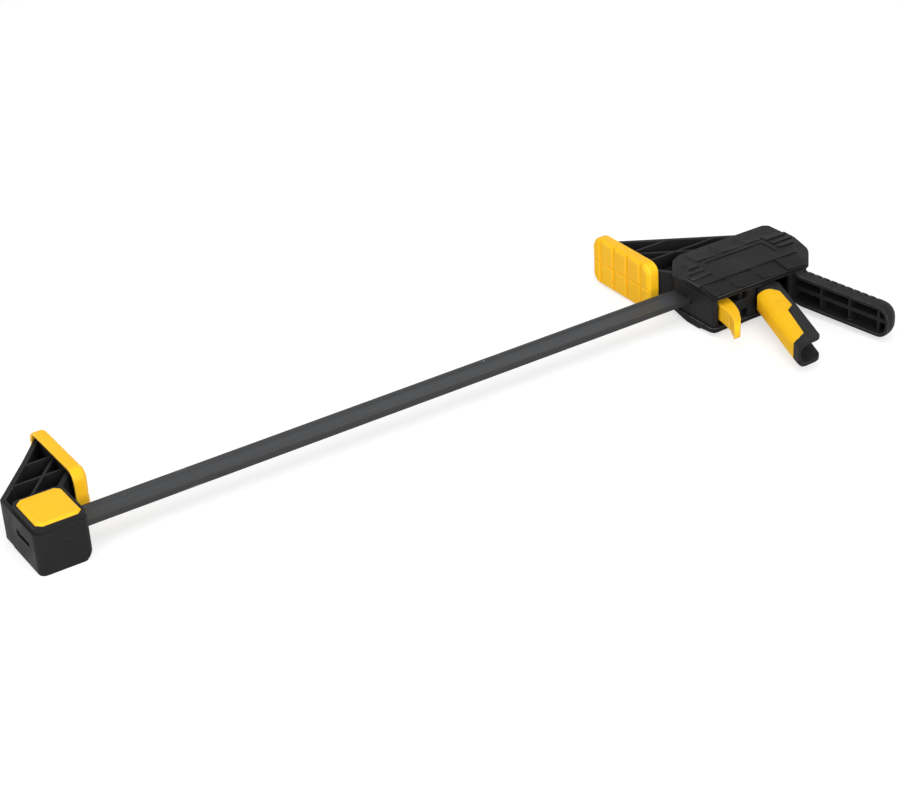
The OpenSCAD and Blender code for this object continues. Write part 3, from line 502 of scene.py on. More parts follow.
@dataclass(frozen=True)
class BarPaint(Finish):
    """The bar's dark finish: drawn lines along the steel, bare rims and small bright scratches.

    Attributes:
        name: The material's name.
        floor: The colour of the channel's floor.
        rim: The colour of the rims.
        scratch: The colour of the bared steel.
        rim_y: Half the width of the channel, in metres.
        blend: Where the rim's colour begins and ends, from there, in metres.
        dim: How bright the drawn lines and clouds are, as a share of the floor's colour.
        line_share: How much the drawn lines darken.
        cloud_share: How much the clouds darken.
        hair_share: How much of the steel a fine scratch bares.
        sheen: How metallic the bared steel is.
        line_depth: The depth of the drawn lines, in metres.
        specular: The strength of the shine.
    """

    name: str
    floor: Colour
    rim: Colour
    scratch: Colour
    rim_y: float
    blend: tuple[float, float] = (-0.0006, 0.0004)
    dim: float = 0.72
    line_share: float = 0.35
    cloud_share: float = 0.25
    hair_share: float = 0.5
    sheen: float = 0.8
    line_depth: float = 0.00001
    specular: float = 0.25

    def build(self) -> bpy.types.Material:
        """Builds the bar's finish."""
        graph = ShaderGraph(self.name)
        lines = graph.noise(scale=30, detail=5, stretch=(0.35, 40, 40), rough=0.65)
        cloud = graph.ramp(graph.noise(scale=14, detail=4, stretch=(1, 3, 3)), low=0.3, high=0.7)
        across = graph.math("ABSOLUTE", graph.axis("Y"))
        on_rim = graph.ramp(across, *(self.rim_y + offset for offset in self.blend))
        base = graph.mix(on_rim, self.floor, self.rim)
        dim = tuple(c * self.dim for c in self.floor)
        drawn = graph.ramp(lines, low=0.35, high=0.7)
        base = graph.mix(graph.part(self.line_share, drawn), base, dim)
        base = graph.mix(graph.part(self.cloud_share, cloud), base, dim)
        nicks = graph.noise(scale=95, detail=3, stretch=(1, 2.2, 2.2), rough=0.6, shift=2)
        nick = graph.ramp(nicks, low=0.66, high=0.7)
        hairs = graph.noise(scale=55, detail=1, stretch=(0.5, 26, 26), rough=0.4, shift=9)
        hair = graph.ramp(hairs, low=0.77, high=0.8)
        bared = graph.math("MAXIMUM", graph.math("MULTIPLY", graph.edge(), nick),
                           graph.part(self.hair_share, hair))
        rough = graph.ramp(lines, low=0.3, high=0.7, start=0.34, end=0.46)
        return graph.surface({
            "Base Color": graph.mix(bared, base, self.scratch), "Roughness": rough,
            "Normal": graph.bump(lines, self.line_depth, strength=0.6),
            "Metallic": graph.part(self.sheen, bared), "Specular IOR Level": self.specular})


@dataclass(frozen=True)
class BareSteel(Finish):
    """Bare steel with fine lines and darker patches.

    Attributes:
        name: The material's name.
        colour: The steel's colour.
        roughness: The middle roughness.
        stretch: How much denser the lines are along each axis.
        dim: How bright the patches are, as a share of the colour.
        patch_share: How much the patches darken.
        uneven: How far the lines change the roughness, down and up.
        line_depth: The depth of the lines, in metres.
    """

    name: str
    colour: Colour
    roughness: float
    stretch: Triple = (1, 30, 1)
    dim: float = 0.62
    patch_share: float = 0.5
    uneven: tuple[float, float] = (-0.06, 0.08)
    line_depth: float = 0.000006

    def build(self) -> bpy.types.Material:
        """Builds the steel."""
        graph = ShaderGraph(self.name)
        lines = graph.noise(scale=40, detail=4, stretch=self.stretch, rough=0.6)
        patch = graph.ramp(graph.noise(scale=90, detail=3), low=0.35, high=0.7)
        dim = tuple(c * self.dim for c in self.colour)
        start, end = (self.roughness + change for change in self.uneven)
        return graph.surface({
            "Base Color": graph.mix(graph.part(self.patch_share, patch), self.colour, dim),
            "Roughness": graph.ramp(lines, low=0.3, high=0.7, start=start, end=end),
            "Metallic": 1.0, "Normal": graph.bump(lines, self.line_depth, strength=0.6)})


@dataclass(frozen=True)
class FloorWhite(Finish):
    """White paper under the object, which shows as white and keeps a soft shadow.

    Attributes:
        name: The material's name.
        paper: The paper's own reflectance.
        fibre: How bright the fibres are, as a share of that.
        glow: What the camera and mirrored rays see on top of that.
    """

    name: str = "floor_white"
    paper: float = 0.5
    fibre: float = 0.985
    glow: float = 0.62

    def build(self) -> bpy.types.Material:
        """Builds the floor's material."""
        graph = ShaderGraph(self.name)
        grey = graph.ramp(graph.noise(scale=25, detail=3), low=0.3, high=0.7, start=self.paper,
                          end=self.paper * self.fibre)
        colour = graph.node("ShaderNodeCombineColor", {0: grey, 1: grey, 2: grey})
        paper = graph.node("ShaderNodeBsdfDiffuse", {"Color": colour.outputs[0]})
        glow = graph.node("ShaderNodeEmission", {"Color": (1, 1, 1, 1),
                          "Strength": graph.part(self.glow, graph.seen_directly())})
        both = graph.node("ShaderNodeAddShader", {0: paper.outputs[0], 1: glow.outputs[0]})
        graph.node("ShaderNodeOutputMaterial", {"Surface": both.outputs[0]})
        return graph.material


# Each plastic's third colour paints its pale grain and the highlight on its rounded outer edges
BLACK = MouldedPlastic("black_plastic", srgb(33, 33, 34), srgb(26, 26, 27), srgb(120, 120, 121),
                       0.5, grain=0.0007, grain_depth=0.00002, specular=0.07, edge_highlight=0.4)
COVER = MouldedPlastic("cover_plastic", srgb(19, 19, 21), srgb(14, 14, 15), srgb(140, 141, 142),
                       0.45, grain=0.0005, grain_depth=0.000014, specular=0.07, edge_highlight=0.45)
YELLOW = MouldedPlastic("yellow_plastic", srgb(253, 194, 32), srgb(249, 184, 20),
                        srgb(255, 214, 90), 0.4, grain=0.0009, grain_depth=0.00001,
                        specular=0.12, edge_highlight=0.35, scatter=0.06)
GRIP = MouldedPlastic("grip_rubber", srgb(247, 191, 26), srgb(241, 180, 18), srgb(255, 210, 76),
                      0.55, grain=0.0004, grain_depth=0.00002, specular=0.12, edge_highlight=0.3,
                      scatter=0.06)
BAR = BarPaint("painted_steel", srgb(52, 54, 57), srgb(46, 45, 44), srgb(170, 168, 165), 0.0067)
BRIGHT = BareSteel("bright_steel", srgb(196, 196, 198), 0.26)
PLATE = BareSteel("plate_steel", srgb(168, 168, 170), 0.36)
SPRING = BareSteel("spring_steel", srgb(150, 150, 152), 0.3, (1, 1, 1))


@dataclass(frozen=True)
class Rounding:
    """How the sharp edges of a copied solid are rounded.

    Attributes:
        width: The width of the rounding, in millimetres.
        segments: How many steps it has.
        arc_width: Strips narrower than this, in millimetres, belong to an arc and stay as they are.
        arc_angle: The steepest turn between the strips of an arc, in degrees.
        least_angle: Flatter edges than this, in degrees, aren't edges.
    """

    width: float = 0.5
    segments: int = 2
    arc_width: float = 3.0
    arc_angle: float = 33.0
    least_angle: float = 1.2


class SolidCopy:
    """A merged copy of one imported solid, with rounded edges.

    A rounding is as wide as fits beside its edge.  Where the rounded mesh still runs away from
    its edge or folds over, the edges nearest to that place are left sharp, a few rounds long.

    Attributes:
        WEIGHT: The name of the layer that holds each edge's share of the rounding's width.
        WELD: Corners nearer than this are one, in metres.
        FLAT_TURN: Faces that turn less than this, in degrees, are one face.
        SHARED_ROOM: The share of a face that a rounding may take towards another rounded edge.
        OWN_ROOM: The share of a face that it may take towards an edge that stays sharp.
        END_ROOM: The share of the next edge that it may take.
        STATIONS: Where along an edge the room beside it is measured, as shares of its length.
        LEAST_WEIGHT: A rounding narrower than this share of the full width is left out.
        IN_LINE: The least cosine between two edges that run on from each other.
        ROUNDED: The material index that marks the faces of a rounding until they are shaded.
        ROUNDS: How many times faults are looked for, at most.
        FAR_ROUNDS: In how many of the first rounds corners that are too far off count as faults.
        SHORT_ROUNDS: In how many of the first rounds only short edges are left sharp.
        SHORT_EDGE: The length of a short edge, in widths of the rounding.
        NEAR_SHORT: How many corners near a fault lose their short edges.
        NEAR_ALL: How many corners near a fault lose all their edges, after those rounds.
        REACH: How far a rounded corner may lie from its edge, in widths of the rounding.
        SPOT_GAP: How closely an edge is sampled to measure that, in millimetres.
        FOLD_AREA: Folded triangles smaller than this are left, in square metres.
        FOLD_COSINE: A triangle is folded when its cosine with its face's normal is below this.
    """

    WEIGHT = "bevel_weight_edge"
    WELD = 2e-6
    FLAT_TURN = 0.35
    SHARED_ROOM = 0.42
    OWN_ROOM = 0.8
    END_ROOM = 0.45
    STATIONS = (0.04, 0.3, 0.5, 0.7, 0.96)
    LEAST_WEIGHT = 0.08
    IN_LINE = 0.9
    ROUNDED = 1
    ROUNDS = 12
    FAR_ROUNDS = 5
    SHORT_ROUNDS = 2
    SHORT_EDGE = 4
    NEAR_SHORT = 2
    NEAR_ALL = 3
    REACH = 2.6
    SPOT_GAP = 0.8
    FOLD_AREA = 4e-9
    FOLD_COSINE = 0.3

    def __init__(self, node: str, name: str, rounding: Rounding) -> None:
        """Copies the solid.

        Args:
            node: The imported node's name.
            name: The new piece's name.
            rounding: How its edges are rounded.
        """
        self.node = node
        self.rounding = rounding
        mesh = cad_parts[node].data.copy()
        mesh.name = name
        self.piece = add_object(name, mesh)
        if "custom_normal" in mesh.attributes:
            mesh.attributes.remove(mesh.attributes["custom_normal"])
        with edited(mesh) as work:
            bmesh.ops.remove_doubles(work, verts=work.verts, dist=self.WELD)
            bmesh.ops.dissolve_limit(work, angle_limit=math.radians(self.FLAT_TURN),
                                     verts=work.verts, edges=work.edges)

    def room_across(self, loop: bmesh.types.BMLoop, sharp: set[bmesh.types.BMEdge]) -> float:
        """Measures how much room a face leaves beside one of its edges.

        Args:
            loop: The face's corner where the edge begins.
            sharp: The edges that are rounded.

        Returns:
            The width that a rounding of the edge can have on this face.
        """
        start, end = loop.vert.co, loop.link_loop_next.vert.co
        along = (end - start).normalized()
        inward = loop.face.normal.cross(along)
        room = math.inf
        for other in loop.face.loops:
            if other is loop:
                continue
            first, last = other.vert.co - start, other.link_loop_next.vert.co - start
            ax, ay, bx, by = first.dot(along), first.dot(inward), last.dot(along), last.dot(inward)
            share = self.SHARED_ROOM if other.edge in sharp else self.OWN_ROOM
            for station in self.STATIONS:
                x = station * (end - start).length
                if (ax - x) * (bx - x) < 0:
                    reach = ay + (by - ay) * (x - ax) / (bx - ax)
                    if reach > 0:
                        room = min(room, share * reach)
        return room

    def room_at_ends(self, edge: bmesh.types.BMEdge) -> float:
        """Measures how much room the edges that meet one of the edge's ends leave.

        Args:
            edge: The edge.

        Returns:
            The width that a rounding of the edge can have at its ends.
        """
        room = math.inf
        for corner in edge.verts:
            for other in corner.link_edges:
                if other is not edge and not any(f in edge.link_faces and self.runs_on(edge, other)
                                                 for f in other.link_faces):
                    room = min(room, self.END_ROOM * other.calc_length())
        return room

    def runs_on(self, edge: bmesh.types.BMEdge, other: bmesh.types.BMEdge) -> bool:
        """Tells whether one edge goes on nearly straight from another.

        Args:
            edge: The first edge.
            other: An edge that shares a vertex with it.

        Returns:
            True when the two are nearly in line.
        """
        first = edge.verts[1].co - edge.verts[0].co
        second = other.verts[1].co - other.verts[0].co
        return abs(first.normalized().dot(second.normalized())) > self.IN_LINE

    def weigh_edges(self) -> None:
        """Gives each sharp edge a share of the rounding's width that fits beside it."""
        full = self.rounding.width * MM
        arc_width = self.rounding.arc_width * MM
        arc_turn = math.radians(self.rounding.arc_angle)
        least = math.radians(self.rounding.least_angle)
        with edited(self.piece.data) as work:
            layer = work.edges.layers.float.new(self.WEIGHT)
            across = {f: f.calc_area() / max(e.calc_length() for e in f.edges) for f in work.faces}
            sharp = set()
            for edge in work.edges:
                if len(edge.link_faces) == 2:
                    turn = edge.calc_face_angle(0.0)
                    narrow = min(across[f] for f in edge.link_faces)
                    if turn >= least and (turn >= arc_turn or narrow >= arc_width):
                        sharp.add(edge)
            for edge in sharp:
                room = min(self.room_across(loop, sharp) for loop in edge.link_loops)
                room = min(room, self.room_at_ends(edge))
                edge[layer] = min(1.0, room / full) if room > self.LEAST_WEIGHT * full else 0.0

    def bevelled(self) -> bpy.types.Object:
        """Rounds the weighted edges on a fresh object.

        Returns:
            The rounded object, whose new faces are marked by their material index.
        """
        mesh = self.piece.data.copy()
        mesh.materials.clear()
        for finish in (BLACK, PLATE):
            mesh.materials.append(finish.material())
        trial = add_object(self.piece.name, mesh)
        bevel = trial.modifiers.new("edges", "BEVEL")
        bevel.limit_method = "WEIGHT"
        bevel.width = self.rounding.width * MM
        bevel.segments = self.rounding.segments
        bevel.use_clamp_overlap = False
        bevel.material = self.ROUNDED
        settle(trial)
        return trial

    def faults(self, trial: bpy.types.Object) -> tuple[list[Vector], list[Vector]]:
        """Finds where the rounding ran away from the edges that it belongs to.

        Args:
            trial: The rounded object.

        Returns:
            Where its corners are too far from their edges, and where its faces are folded over.
        """
        plain = self.piece.data
        spots: list[Vector] = []
        for edge, weight in zip(plain.edges, plain.attributes[self.WEIGHT].data):
            if weight.value > 0:
                start, end = (plain.vertices[v].co for v in edge.vertices)
                steps = max(1, math.ceil((end - start).length / (self.SPOT_GAP * MM)))
                spots += [start.lerp(end, k / steps) for k in range(steps + 1)]
        tree = near_tree(spots)
        reach = self.REACH * self.rounding.width * MM
        mesh = trial.data
        points = mesh.vertices
        seen = {v for p in mesh.polygons if p.material_index == self.ROUNDED for v in p.vertices}
        far = [points[v].co.copy() for v in seen if tree.find(points[v].co)[2] > reach]
        mesh.calc_loop_triangles()
        folded = {v for t in mesh.loop_triangles for v in t.vertices if t.area > self.FOLD_AREA
                  and t.normal.dot(mesh.polygons[t.polygon_index].normal) < self.FOLD_COSINE}
        return far, [points[v].co.copy() for v in folded]

    def relieve(self, places: list[Vector], short_only: bool) -> None:
        """Leaves the edges nearest to the faults sharp.

        Args:
            places: Where the faults are.
            short_only: Whether only short edges are left out.
        """
        limit = self.SHORT_EDGE * self.rounding.width * MM
        count = self.NEAR_SHORT if short_only else self.NEAR_ALL
        with edited(self.piece.data) as work:
            layer = work.edges.layers.float[self.WEIGHT]
            ends = [v for v in work.verts if any(e[layer] > 0 for e in v.link_edges)]
            tree = near_tree([end.co for end in ends])
            for place in places:
                for _, index, _ in tree.find_n(place, count):
                    for edge in ends[index].link_edges:
                        if not short_only or edge.calc_length() < limit:
                            edge[layer] = 0.0

    def harden(self) -> None:
        """Marks the edges that stay sharp, so that shading doesn't run over them."""
        steepest = math.radians(self.rounding.arc_angle)
        with edited(self.piece.data) as work:
            layer = work.edges.layers.float[self.WEIGHT]
            for edge in work.edges:
                edge.smooth = edge[layer] > 0 or edge.calc_face_angle(0.0) < steepest

    def round(self) -> bpy.types.Object:
        """Rounds the edges, marks the outer ones and smooths the shading.

        Returns:
            The finished piece, as a plain mesh.
        """
        self.weigh_edges()
        self.harden()
        trial = self.bevelled()
        for attempt in range(self.ROUNDS):
            far, folded = self.faults(trial)
            places = folded + far if attempt < self.FAR_ROUNDS else folded
            if not places:
                break
            self.relieve(places, attempt < self.SHORT_ROUNDS)
            self.harden()
            bpy.data.objects.remove(trial)
            trial = self.bevelled()
        name = self.piece.name
        LOG.info("%s: %d corners far off, %d folded", name, len(far), len(folded))
        bpy.data.objects.remove(self.piece)
        self.piece = trial
        trial.name = name
        low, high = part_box(self.node)
        for vertex in trial.data.vertices:
            vertex.co = [min(max(c, a), b) for c, a, b in zip(vertex.co, low, high)]
        Shading(trial.data, self.rounding).apply()
        return trial


class Shading:
    """The smooth shading of a rounded mesh, and its marks along outer edges.

    Attributes:
        OUTER_TURN: The least sum of the turns at a corner of an outer edge, in radians.
        STEEPEST_TURN: The steepest turn beside a rounding that the shading runs over, in degrees.
        FLAT_COSINE: The least cosine between two faces that are one flat face.
        LEAST_LENGTH: Stands for an edge without length, in metres.
        LEAST_AREA: Stands for a face without area, in square metres.
    """

    OUTER_TURN = 0.35
    STEEPEST_TURN = 50.0
    FLAT_COSINE = 0.9995
    LEAST_LENGTH = 1e-9
    LEAST_AREA = 1e-12

    def __init__(self, mesh: bpy.types.Mesh, rounding: Rounding) -> None:
        """Marks the outer edges and measures the mesh.

        Args:
            mesh: A mesh whose rounded faces are marked by their material index.
            rounding: What counts as an arc.
        """
        self.mesh = mesh
        self.rounded = {p.index for p in mesh.polygons if p.material_index == SolidCopy.ROUNDED}
        self.mark_edges()
        self.steepest, self.arc = (math.cos(math.radians(angle)) for angle in
                                   (self.STEEPEST_TURN, rounding.arc_angle))
        self.faces = [(p.normal.copy(), p.area) for p in mesh.polygons]
        self.narrow: list[bool] = []
        for polygon in mesh.polygons:
            corners = [mesh.vertices[v].co for v in polygon.vertices]
            longest = max((a - b).length for a, b in zip(corners, corners[1:] + corners[:1]))
            width = polygon.area / max(longest, self.LEAST_LENGTH)
            self.narrow.append(width < rounding.arc_width * MM)

    def mark_edges(self) -> None:
        """Writes which face corners lie on a rounded outer edge, and takes the marks off."""
        with edited(self.mesh) as work:
            layer = work.loops.layers.float.new("edge")
            for face in work.faces:
                if face.material_index == SolidCopy.ROUNDED:
                    for loop in face.loops:
                        loop[layer] = 1.0 if self.is_outer(loop.vert) else 0.0
            for face in work.faces:
                face.material_index = 0
                face.smooth = True

    @classmethod
    def is_outer(cls, corner: bmesh.types.BMVert) -> bool:
        """Tells whether a corner lies on a rounded outer edge.

        Args:
            corner: A corner of the marked mesh.

        Returns:
            True when all its faces are rounded and they turn outwards.
        """
        def rounded(faces: Any) -> bool:
            """Tells whether some faces all belong to a rounding."""
            return all(face.material_index == SolidCopy.ROUNDED for face in faces)

        turned = [edge.calc_face_angle_signed(0.0) for edge in corner.link_edges
                  if len(edge.link_faces) == 2 and rounded(edge.link_faces)]
        return sum(turned) > cls.OUTER_TURN and rounded(corner.link_faces)

    def joined(self, first: int, second: int) -> bool:
        """Tells whether the shading runs from one face into another.

        Args:
            first: The number of the first face.
            second: The number of the second face.

        Returns:
            True when it does.
        """
        turn = self.faces[first][0].dot(self.faces[second][0])
        if first in self.rounded or second in self.rounded:
            return turn > self.steepest
        return turn > self.FLAT_COSINE or (turn > self.arc
                                           and (self.narrow[first] or self.narrow[second]))

    def apply(self) -> None:
        """Shades the mesh smoothly over its roundings and arcs, with its large faces kept flat."""
        mesh = self.mesh
        around: list[list[int]] = [[] for _ in mesh.vertices]
        for polygon in mesh.polygons:
            for vertex in polygon.vertices:
                around[vertex].append(polygon.index)
        normals = [Vector((0, 0, 1))] * len(mesh.loops)
        for polygon in mesh.polygons:
            own, area = self.faces[polygon.index]
            for corner in polygon.loop_indices:
                total = own * max(area, self.LEAST_AREA)
                for other in around[mesh.loops[corner].vertex_index]:
                    if other != polygon.index and self.joined(polygon.index, other):
                        total += self.faces[other][0] * self.faces[other][1]
                normals[corner] = total.normalized()
        mesh.normals_split_custom_set(normals)


def enlist(piece: bpy.types.Object, finish: Finish, body: Body, slot: Slot, *nodes: str) -> None:
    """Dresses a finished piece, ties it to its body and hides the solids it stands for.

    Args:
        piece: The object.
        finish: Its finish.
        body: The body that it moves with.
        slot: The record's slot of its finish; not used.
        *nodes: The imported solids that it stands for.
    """
    finish.dress(piece)
    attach(piece, body.value)
    if nodes:
        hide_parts(*nodes)
    LOG.info("%s: %d faces, on %s", piece.name, len(piece.data.polygons), body.value)


def rounded_copy(node: str, name: str, rounding: Rounding, finish: Finish, body: Body,
                 slot: Slot) -> bpy.types.Object:
    """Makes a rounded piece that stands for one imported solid.

    Args:
        node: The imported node's name.
        name: The piece's name.
        rounding: How its edges are rounded.
        finish: Its finish.
        body: The body that it moves with.
        slot: The record's slot of its finish.

    Returns:
        The piece.
    """
    piece = SolidCopy(node, name, rounding).round()
    enlist(piece, finish, body, slot, node)
    return piece


def redress(finish: Finish, *nodes: str) -> None:
    """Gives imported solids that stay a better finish.

    Args:
        finish: The finish.
        *nodes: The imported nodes' names.
    """
    for node in nodes:
        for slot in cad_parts[node].material_slots:
            slot.material = finish.material()


@dataclass(frozen=True)
class CoilSpring:
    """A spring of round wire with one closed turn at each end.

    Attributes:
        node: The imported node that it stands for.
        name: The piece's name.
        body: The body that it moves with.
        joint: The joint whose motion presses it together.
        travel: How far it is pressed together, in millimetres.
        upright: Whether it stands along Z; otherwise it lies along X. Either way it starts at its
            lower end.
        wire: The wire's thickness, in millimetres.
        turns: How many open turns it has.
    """

    node: str
    name: str
    body: Body
    joint: str
    travel: float
    upright: bool = False
    wire: float = 0.9
    turns: float = 4.0

    @staticmethod
    def graph() -> FormGraph:
        """Makes the tree: a helix between two rings, swept with a round wire."""
        graph = FormGraph("coil_spring")
        radius, rise, turns, wire = (graph.input(name, "NodeSocketFloat")
                                     for name in ("Radius", "Rise", "Turns", "Wire radius"))
        finish = graph.input("Finish", "NodeSocketMaterial")
        helix = graph.node("GeometryNodeCurveSpiral", {"Resolution": 28, "Rotations": turns,
                           "Start Radius": radius, "End Radius": radius, "Height": rise})
        ring = graph.node("GeometryNodeCurvePrimitiveCircle", {"Resolution": 32, "Radius": radius})
        lift = graph.node("ShaderNodeCombineXYZ", {2: rise})
        top = graph.node("GeometryNodeTransform", {"Geometry": ring.outputs[0],
                         "Translation": lift.outputs[0]})
        path = graph.node("GeometryNodeJoinGeometry", {0: [helix.outputs[0], ring.outputs[0],
                          top.outputs[0]]})
        section = graph.node("GeometryNodeCurvePrimitiveCircle", {"Resolution": 10, "Radius": wire})
        sweep = graph.node("GeometryNodeCurveToMesh", {"Curve": path.outputs[0],
                           "Profile Curve": section.outputs[0], "Fill Caps": True})
        graph.end(sweep.outputs[0], finish)
        return graph

    def build(self, graph: FormGraph) -> None:
        """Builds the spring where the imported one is.

        Args:
            graph: The tree that winds it.
        """
        low, high = (Vector(corner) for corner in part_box(self.node))
        middle = (low + high) / 2
        thick = self.wire * MM
        if self.upright:
            length = high.z - low.z - thick
            place = Matrix.Translation((middle.x, middle.y, low.z + thick / 2))
        else:
            length = high.x - low.x - thick
            place = (Matrix.Translation((low.x + thick / 2, middle.y, middle.z))
                     @ Matrix.Rotation(math.radians(90), 4, "Y"))
        piece = graph.grow(self.name, {
            "Radius": (high.y - low.y - thick) / 2, "Rise": length, "Turns": self.turns,
            "Wire radius": thick / 2, "Finish": SPRING.material()})
        piece.data.transform(place)
        enlist(piece, SPRING, self.body, Slot.SPRING_STEEL, self.node)
        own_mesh(piece)


@dataclass(frozen=True)
class CoverScrews:
    """The four screws that hold the covers, with cross recesses in their heads.

    Attributes:
        places: Where the screws are, across the head, in millimetres.
        head: The radius of the head.
        head_depth: The thickness of the head.
        head_slope: The width and the height of the slope round the head.
        shank: The radius of the shank.
        shank_slope: The width and the height of the slope at the shank's end.
        cross: Half the length of the recess.
        slit: Half the width of the recess.
        recess: The depth of the recess.
        taper: The size of the recess's floor, as a share of its mouth.
        sides: How many flats stand for the round.
        most_turn: How far a screw's cross is turned at most, in radians.
        seed: The seed of these turns.
    """

    places: tuple[tuple[float, float], ...] = (
        (499.3, 23.4), (499.3, -30.8), (557.3, 23.4), (542.3, -30.8))
    head: float = 2.8
    head_depth: float = 2.0
    head_slope: tuple[float, float] = (0.35, 0.3)
    shank: float = 1.45
    shank_slope: tuple[float, float] = (0.4, 0.4)
    cross: float = 1.7
    slit: float = 0.36
    recess: float = 1.0
    taper: float = 0.8
    sides: int = 32
    most_turn: float = 1.5
    seed: int = 11

    def template(self, low: float, high: float) -> bpy.types.Object:
        """Turns one screw, with its recess on the underside.

        Args:
            low: The height of the head's outer face, in metres.
            high: The height of the shank's end, in metres.

        Returns:
            The screw, on the line through x = y = 0.
        """
        seat = low + self.head_depth * MM
        (rim, rim_rise), (tip, tip_rise) = self.head_slope, self.shank_slope
        profile = [(self.head - rim, low), (self.head, low + rim_rise * MM), (self.head, seat),
                   (self.shank, seat), (self.shank, high - tip_rise * MM),
                   (self.shank - tip, high)]
        angles = [2 * math.pi * k / self.sides for k in range(self.sides)]
        arms = [(self.cross, self.slit), (self.slit, self.slit), (self.slit, self.cross)]
        outline = [(x * c - y * s, x * s + y * c) for c, s in ((1, 0), (0, 1), (-1, 0), (0, -1))
                   for x, y in arms]
        bottom = low + self.recess * MM
        mesh = bpy.data.meshes.new("screw")
        with edited(mesh) as work:
            rings = [[work.verts.new((r * MM * math.cos(a), r * MM * math.sin(a), z))
                      for a in angles] for r, z in profile]
            mouth = [work.verts.new((x * MM, y * MM, low)) for x, y in outline]
            floor = [work.verts.new((self.taper * x * MM, self.taper * y * MM, bottom))
                     for x, y in outline]
            for lower, upper in (*zip(rings, rings[1:]), (mouth, floor)):
                for k in range(len(lower)):
                    work.faces.new((lower[k - 1], lower[k], upper[k], upper[k - 1]))
            work.faces.new(rings[-1])
            work.faces.new(floor)
            loop = [work.edges.get((ring[k - 1], ring[k])) for ring in (rings[0], mouth)
                    for k in range(len(ring))]
            bmesh.ops.triangle_fill(work, edges=loop, use_beauty=True)
            bmesh.ops.recalc_face_normals(work, faces=work.faces)
        return bpy.data.objects.new("screw", mesh)

    def build(self) -> None:
        """Sets a screw at each place."""
        low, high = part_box("cover_screws")
        template = self.template(low[2], high[2])
        spots = bpy.data.meshes.new("spots")
        spots.from_pydata([(x * MM, y * MM, 0) for x, y in self.places], [], [])
        carrier = bpy.data.objects.new("spots", spots)
        graph = FormGraph("screws")
        shape, places = (graph.input(name, "NodeSocketObject") for name in ("Screw", "Places"))
        finish = graph.input("Finish", "NodeSocketMaterial")
        screw = graph.node("GeometryNodeObjectInfo", {"Object": shape}).outputs["Geometry"]
        points = graph.node("GeometryNodeObjectInfo", {"Object": places}).outputs["Geometry"]
        turn = graph.node("FunctionNodeRandomValue", {"Min": 0.0, "Max": self.most_turn,
                          "Seed": self.seed}, data_type="FLOAT")
        turns = next(s for s in turn.outputs if s.enabled)
        twist = graph.node("ShaderNodeCombineXYZ", {2: turns})
        row = graph.node("GeometryNodeInstanceOnPoints", {"Points": points, "Instance": screw,
                         "Rotation": twist.outputs[0]})
        graph.end(row.outputs[0], finish)
        piece = graph.grow("screw_set", {"Screw": template, "Places": carrier,
                                         "Finish": BRIGHT.material()})
        for spare in (template, carrier):
            bpy.data.objects.remove(spare)
        enlist(piece, BRIGHT, Body.HEAD, Slot.BRIGHT_STEEL, "cover_screws")


@dataclass(frozen=True)
class GripMarks:
    """The two low slanted marks that stand out near the top of the soft grip.

    Attributes:
        pivot: The lever's pivot, in millimetres.
        lean: The lever's lean, in degrees.
        marks: The corners of each mark, from the lever's pivot, along and across the lever.
        rise: How far a mark stands out.
        sink: How far its rim reaches below the surface.
        stations: Where a mark's points lie, as shares of its length and of its width.
        above: A height over the grip, in metres, from which its surface is looked for.
    """

    pivot: tuple[float, float] = (520.3, 15.0)
    lean: float = 20.5
    marks: tuple[tuple[tuple[float, float], ...], ...] = (
        ((9.3, -64.6), (14.3, -67.0), (14.7, -75.2), (9.8, -72.6)),
        ((8.9, -76.2), (14.2, -79.0), (14.7, -86.4), (9.3, -83.9)))
    rise: float = 0.22
    sink: float = 0.2
    stations: tuple[float, ...] = (0.0, 0.08, 0.36, 0.64, 0.92, 1.0)
    above: float = 0.05

    def build(self, grip: bpy.types.Object) -> None:
        """Lays the marks on the grip's upper side.

        Args:
            grip: The finished grip.
        """
        tree = BVHTree.FromPolygons([v.co for v in grip.data.vertices],
                                    [tuple(p.vertices) for p in grip.data.polygons])
        turn = Matrix.Rotation(math.radians(-self.lean), 2)
        ends = (self.stations[0], self.stations[-1])
        mesh = bpy.data.meshes.new("trigger_marks")
        with edited(mesh) as work:
            for mark in self.marks:
                a, b, c, d = ((turn @ Vector(corner) + Vector(self.pivot)) * MM for corner in mark)
                rows = []
                for u in self.stations:
                    row = []
                    for v in self.stations:
                        spot = a.lerp(b, u).lerp(d.lerp(c, u), v)
                        place, normal, _, _ = tree.ray_cast(Vector((spot.x, spot.y, self.above)),
                                                            Vector((0, 0, -1)))
                        height = -self.sink if u in ends or v in ends else self.rise
                        row.append(work.verts.new(place + normal * MM * height))
                    rows.append(row)
                for first, second in zip(rows, rows[1:]):
                    for k in range(len(first) - 1):
                        work.faces.new((first[k], second[k], second[k + 1], first[k + 1]))
            bmesh.ops.recalc_face_normals(work, faces=work.faces)
            if sum(f.normal.z for f in work.faces) < 0:
                bmesh.ops.reverse_faces(work, faces=work.faces)
        enlist(add_object("trigger_marks", mesh), GRIP, Body.LEVER, Slot.GRIP_RUBBER)


@dataclass
class SteelBar:
    """The rolled bar and the stop pin near its end.

    Attributes:
        bar_round: How the bar's edges are rounded.
    """

    bar_round: Rounding = Rounding(0.35, 2, 1.0)

    def build(self) -> None:
        """Builds the bar."""
        rounded_copy("bar", "rolled_bar", self.bar_round, BAR, Body.BAR, Slot.PAINTED_STEEL)
        redress(BRIGHT, "bar_stop_pin")


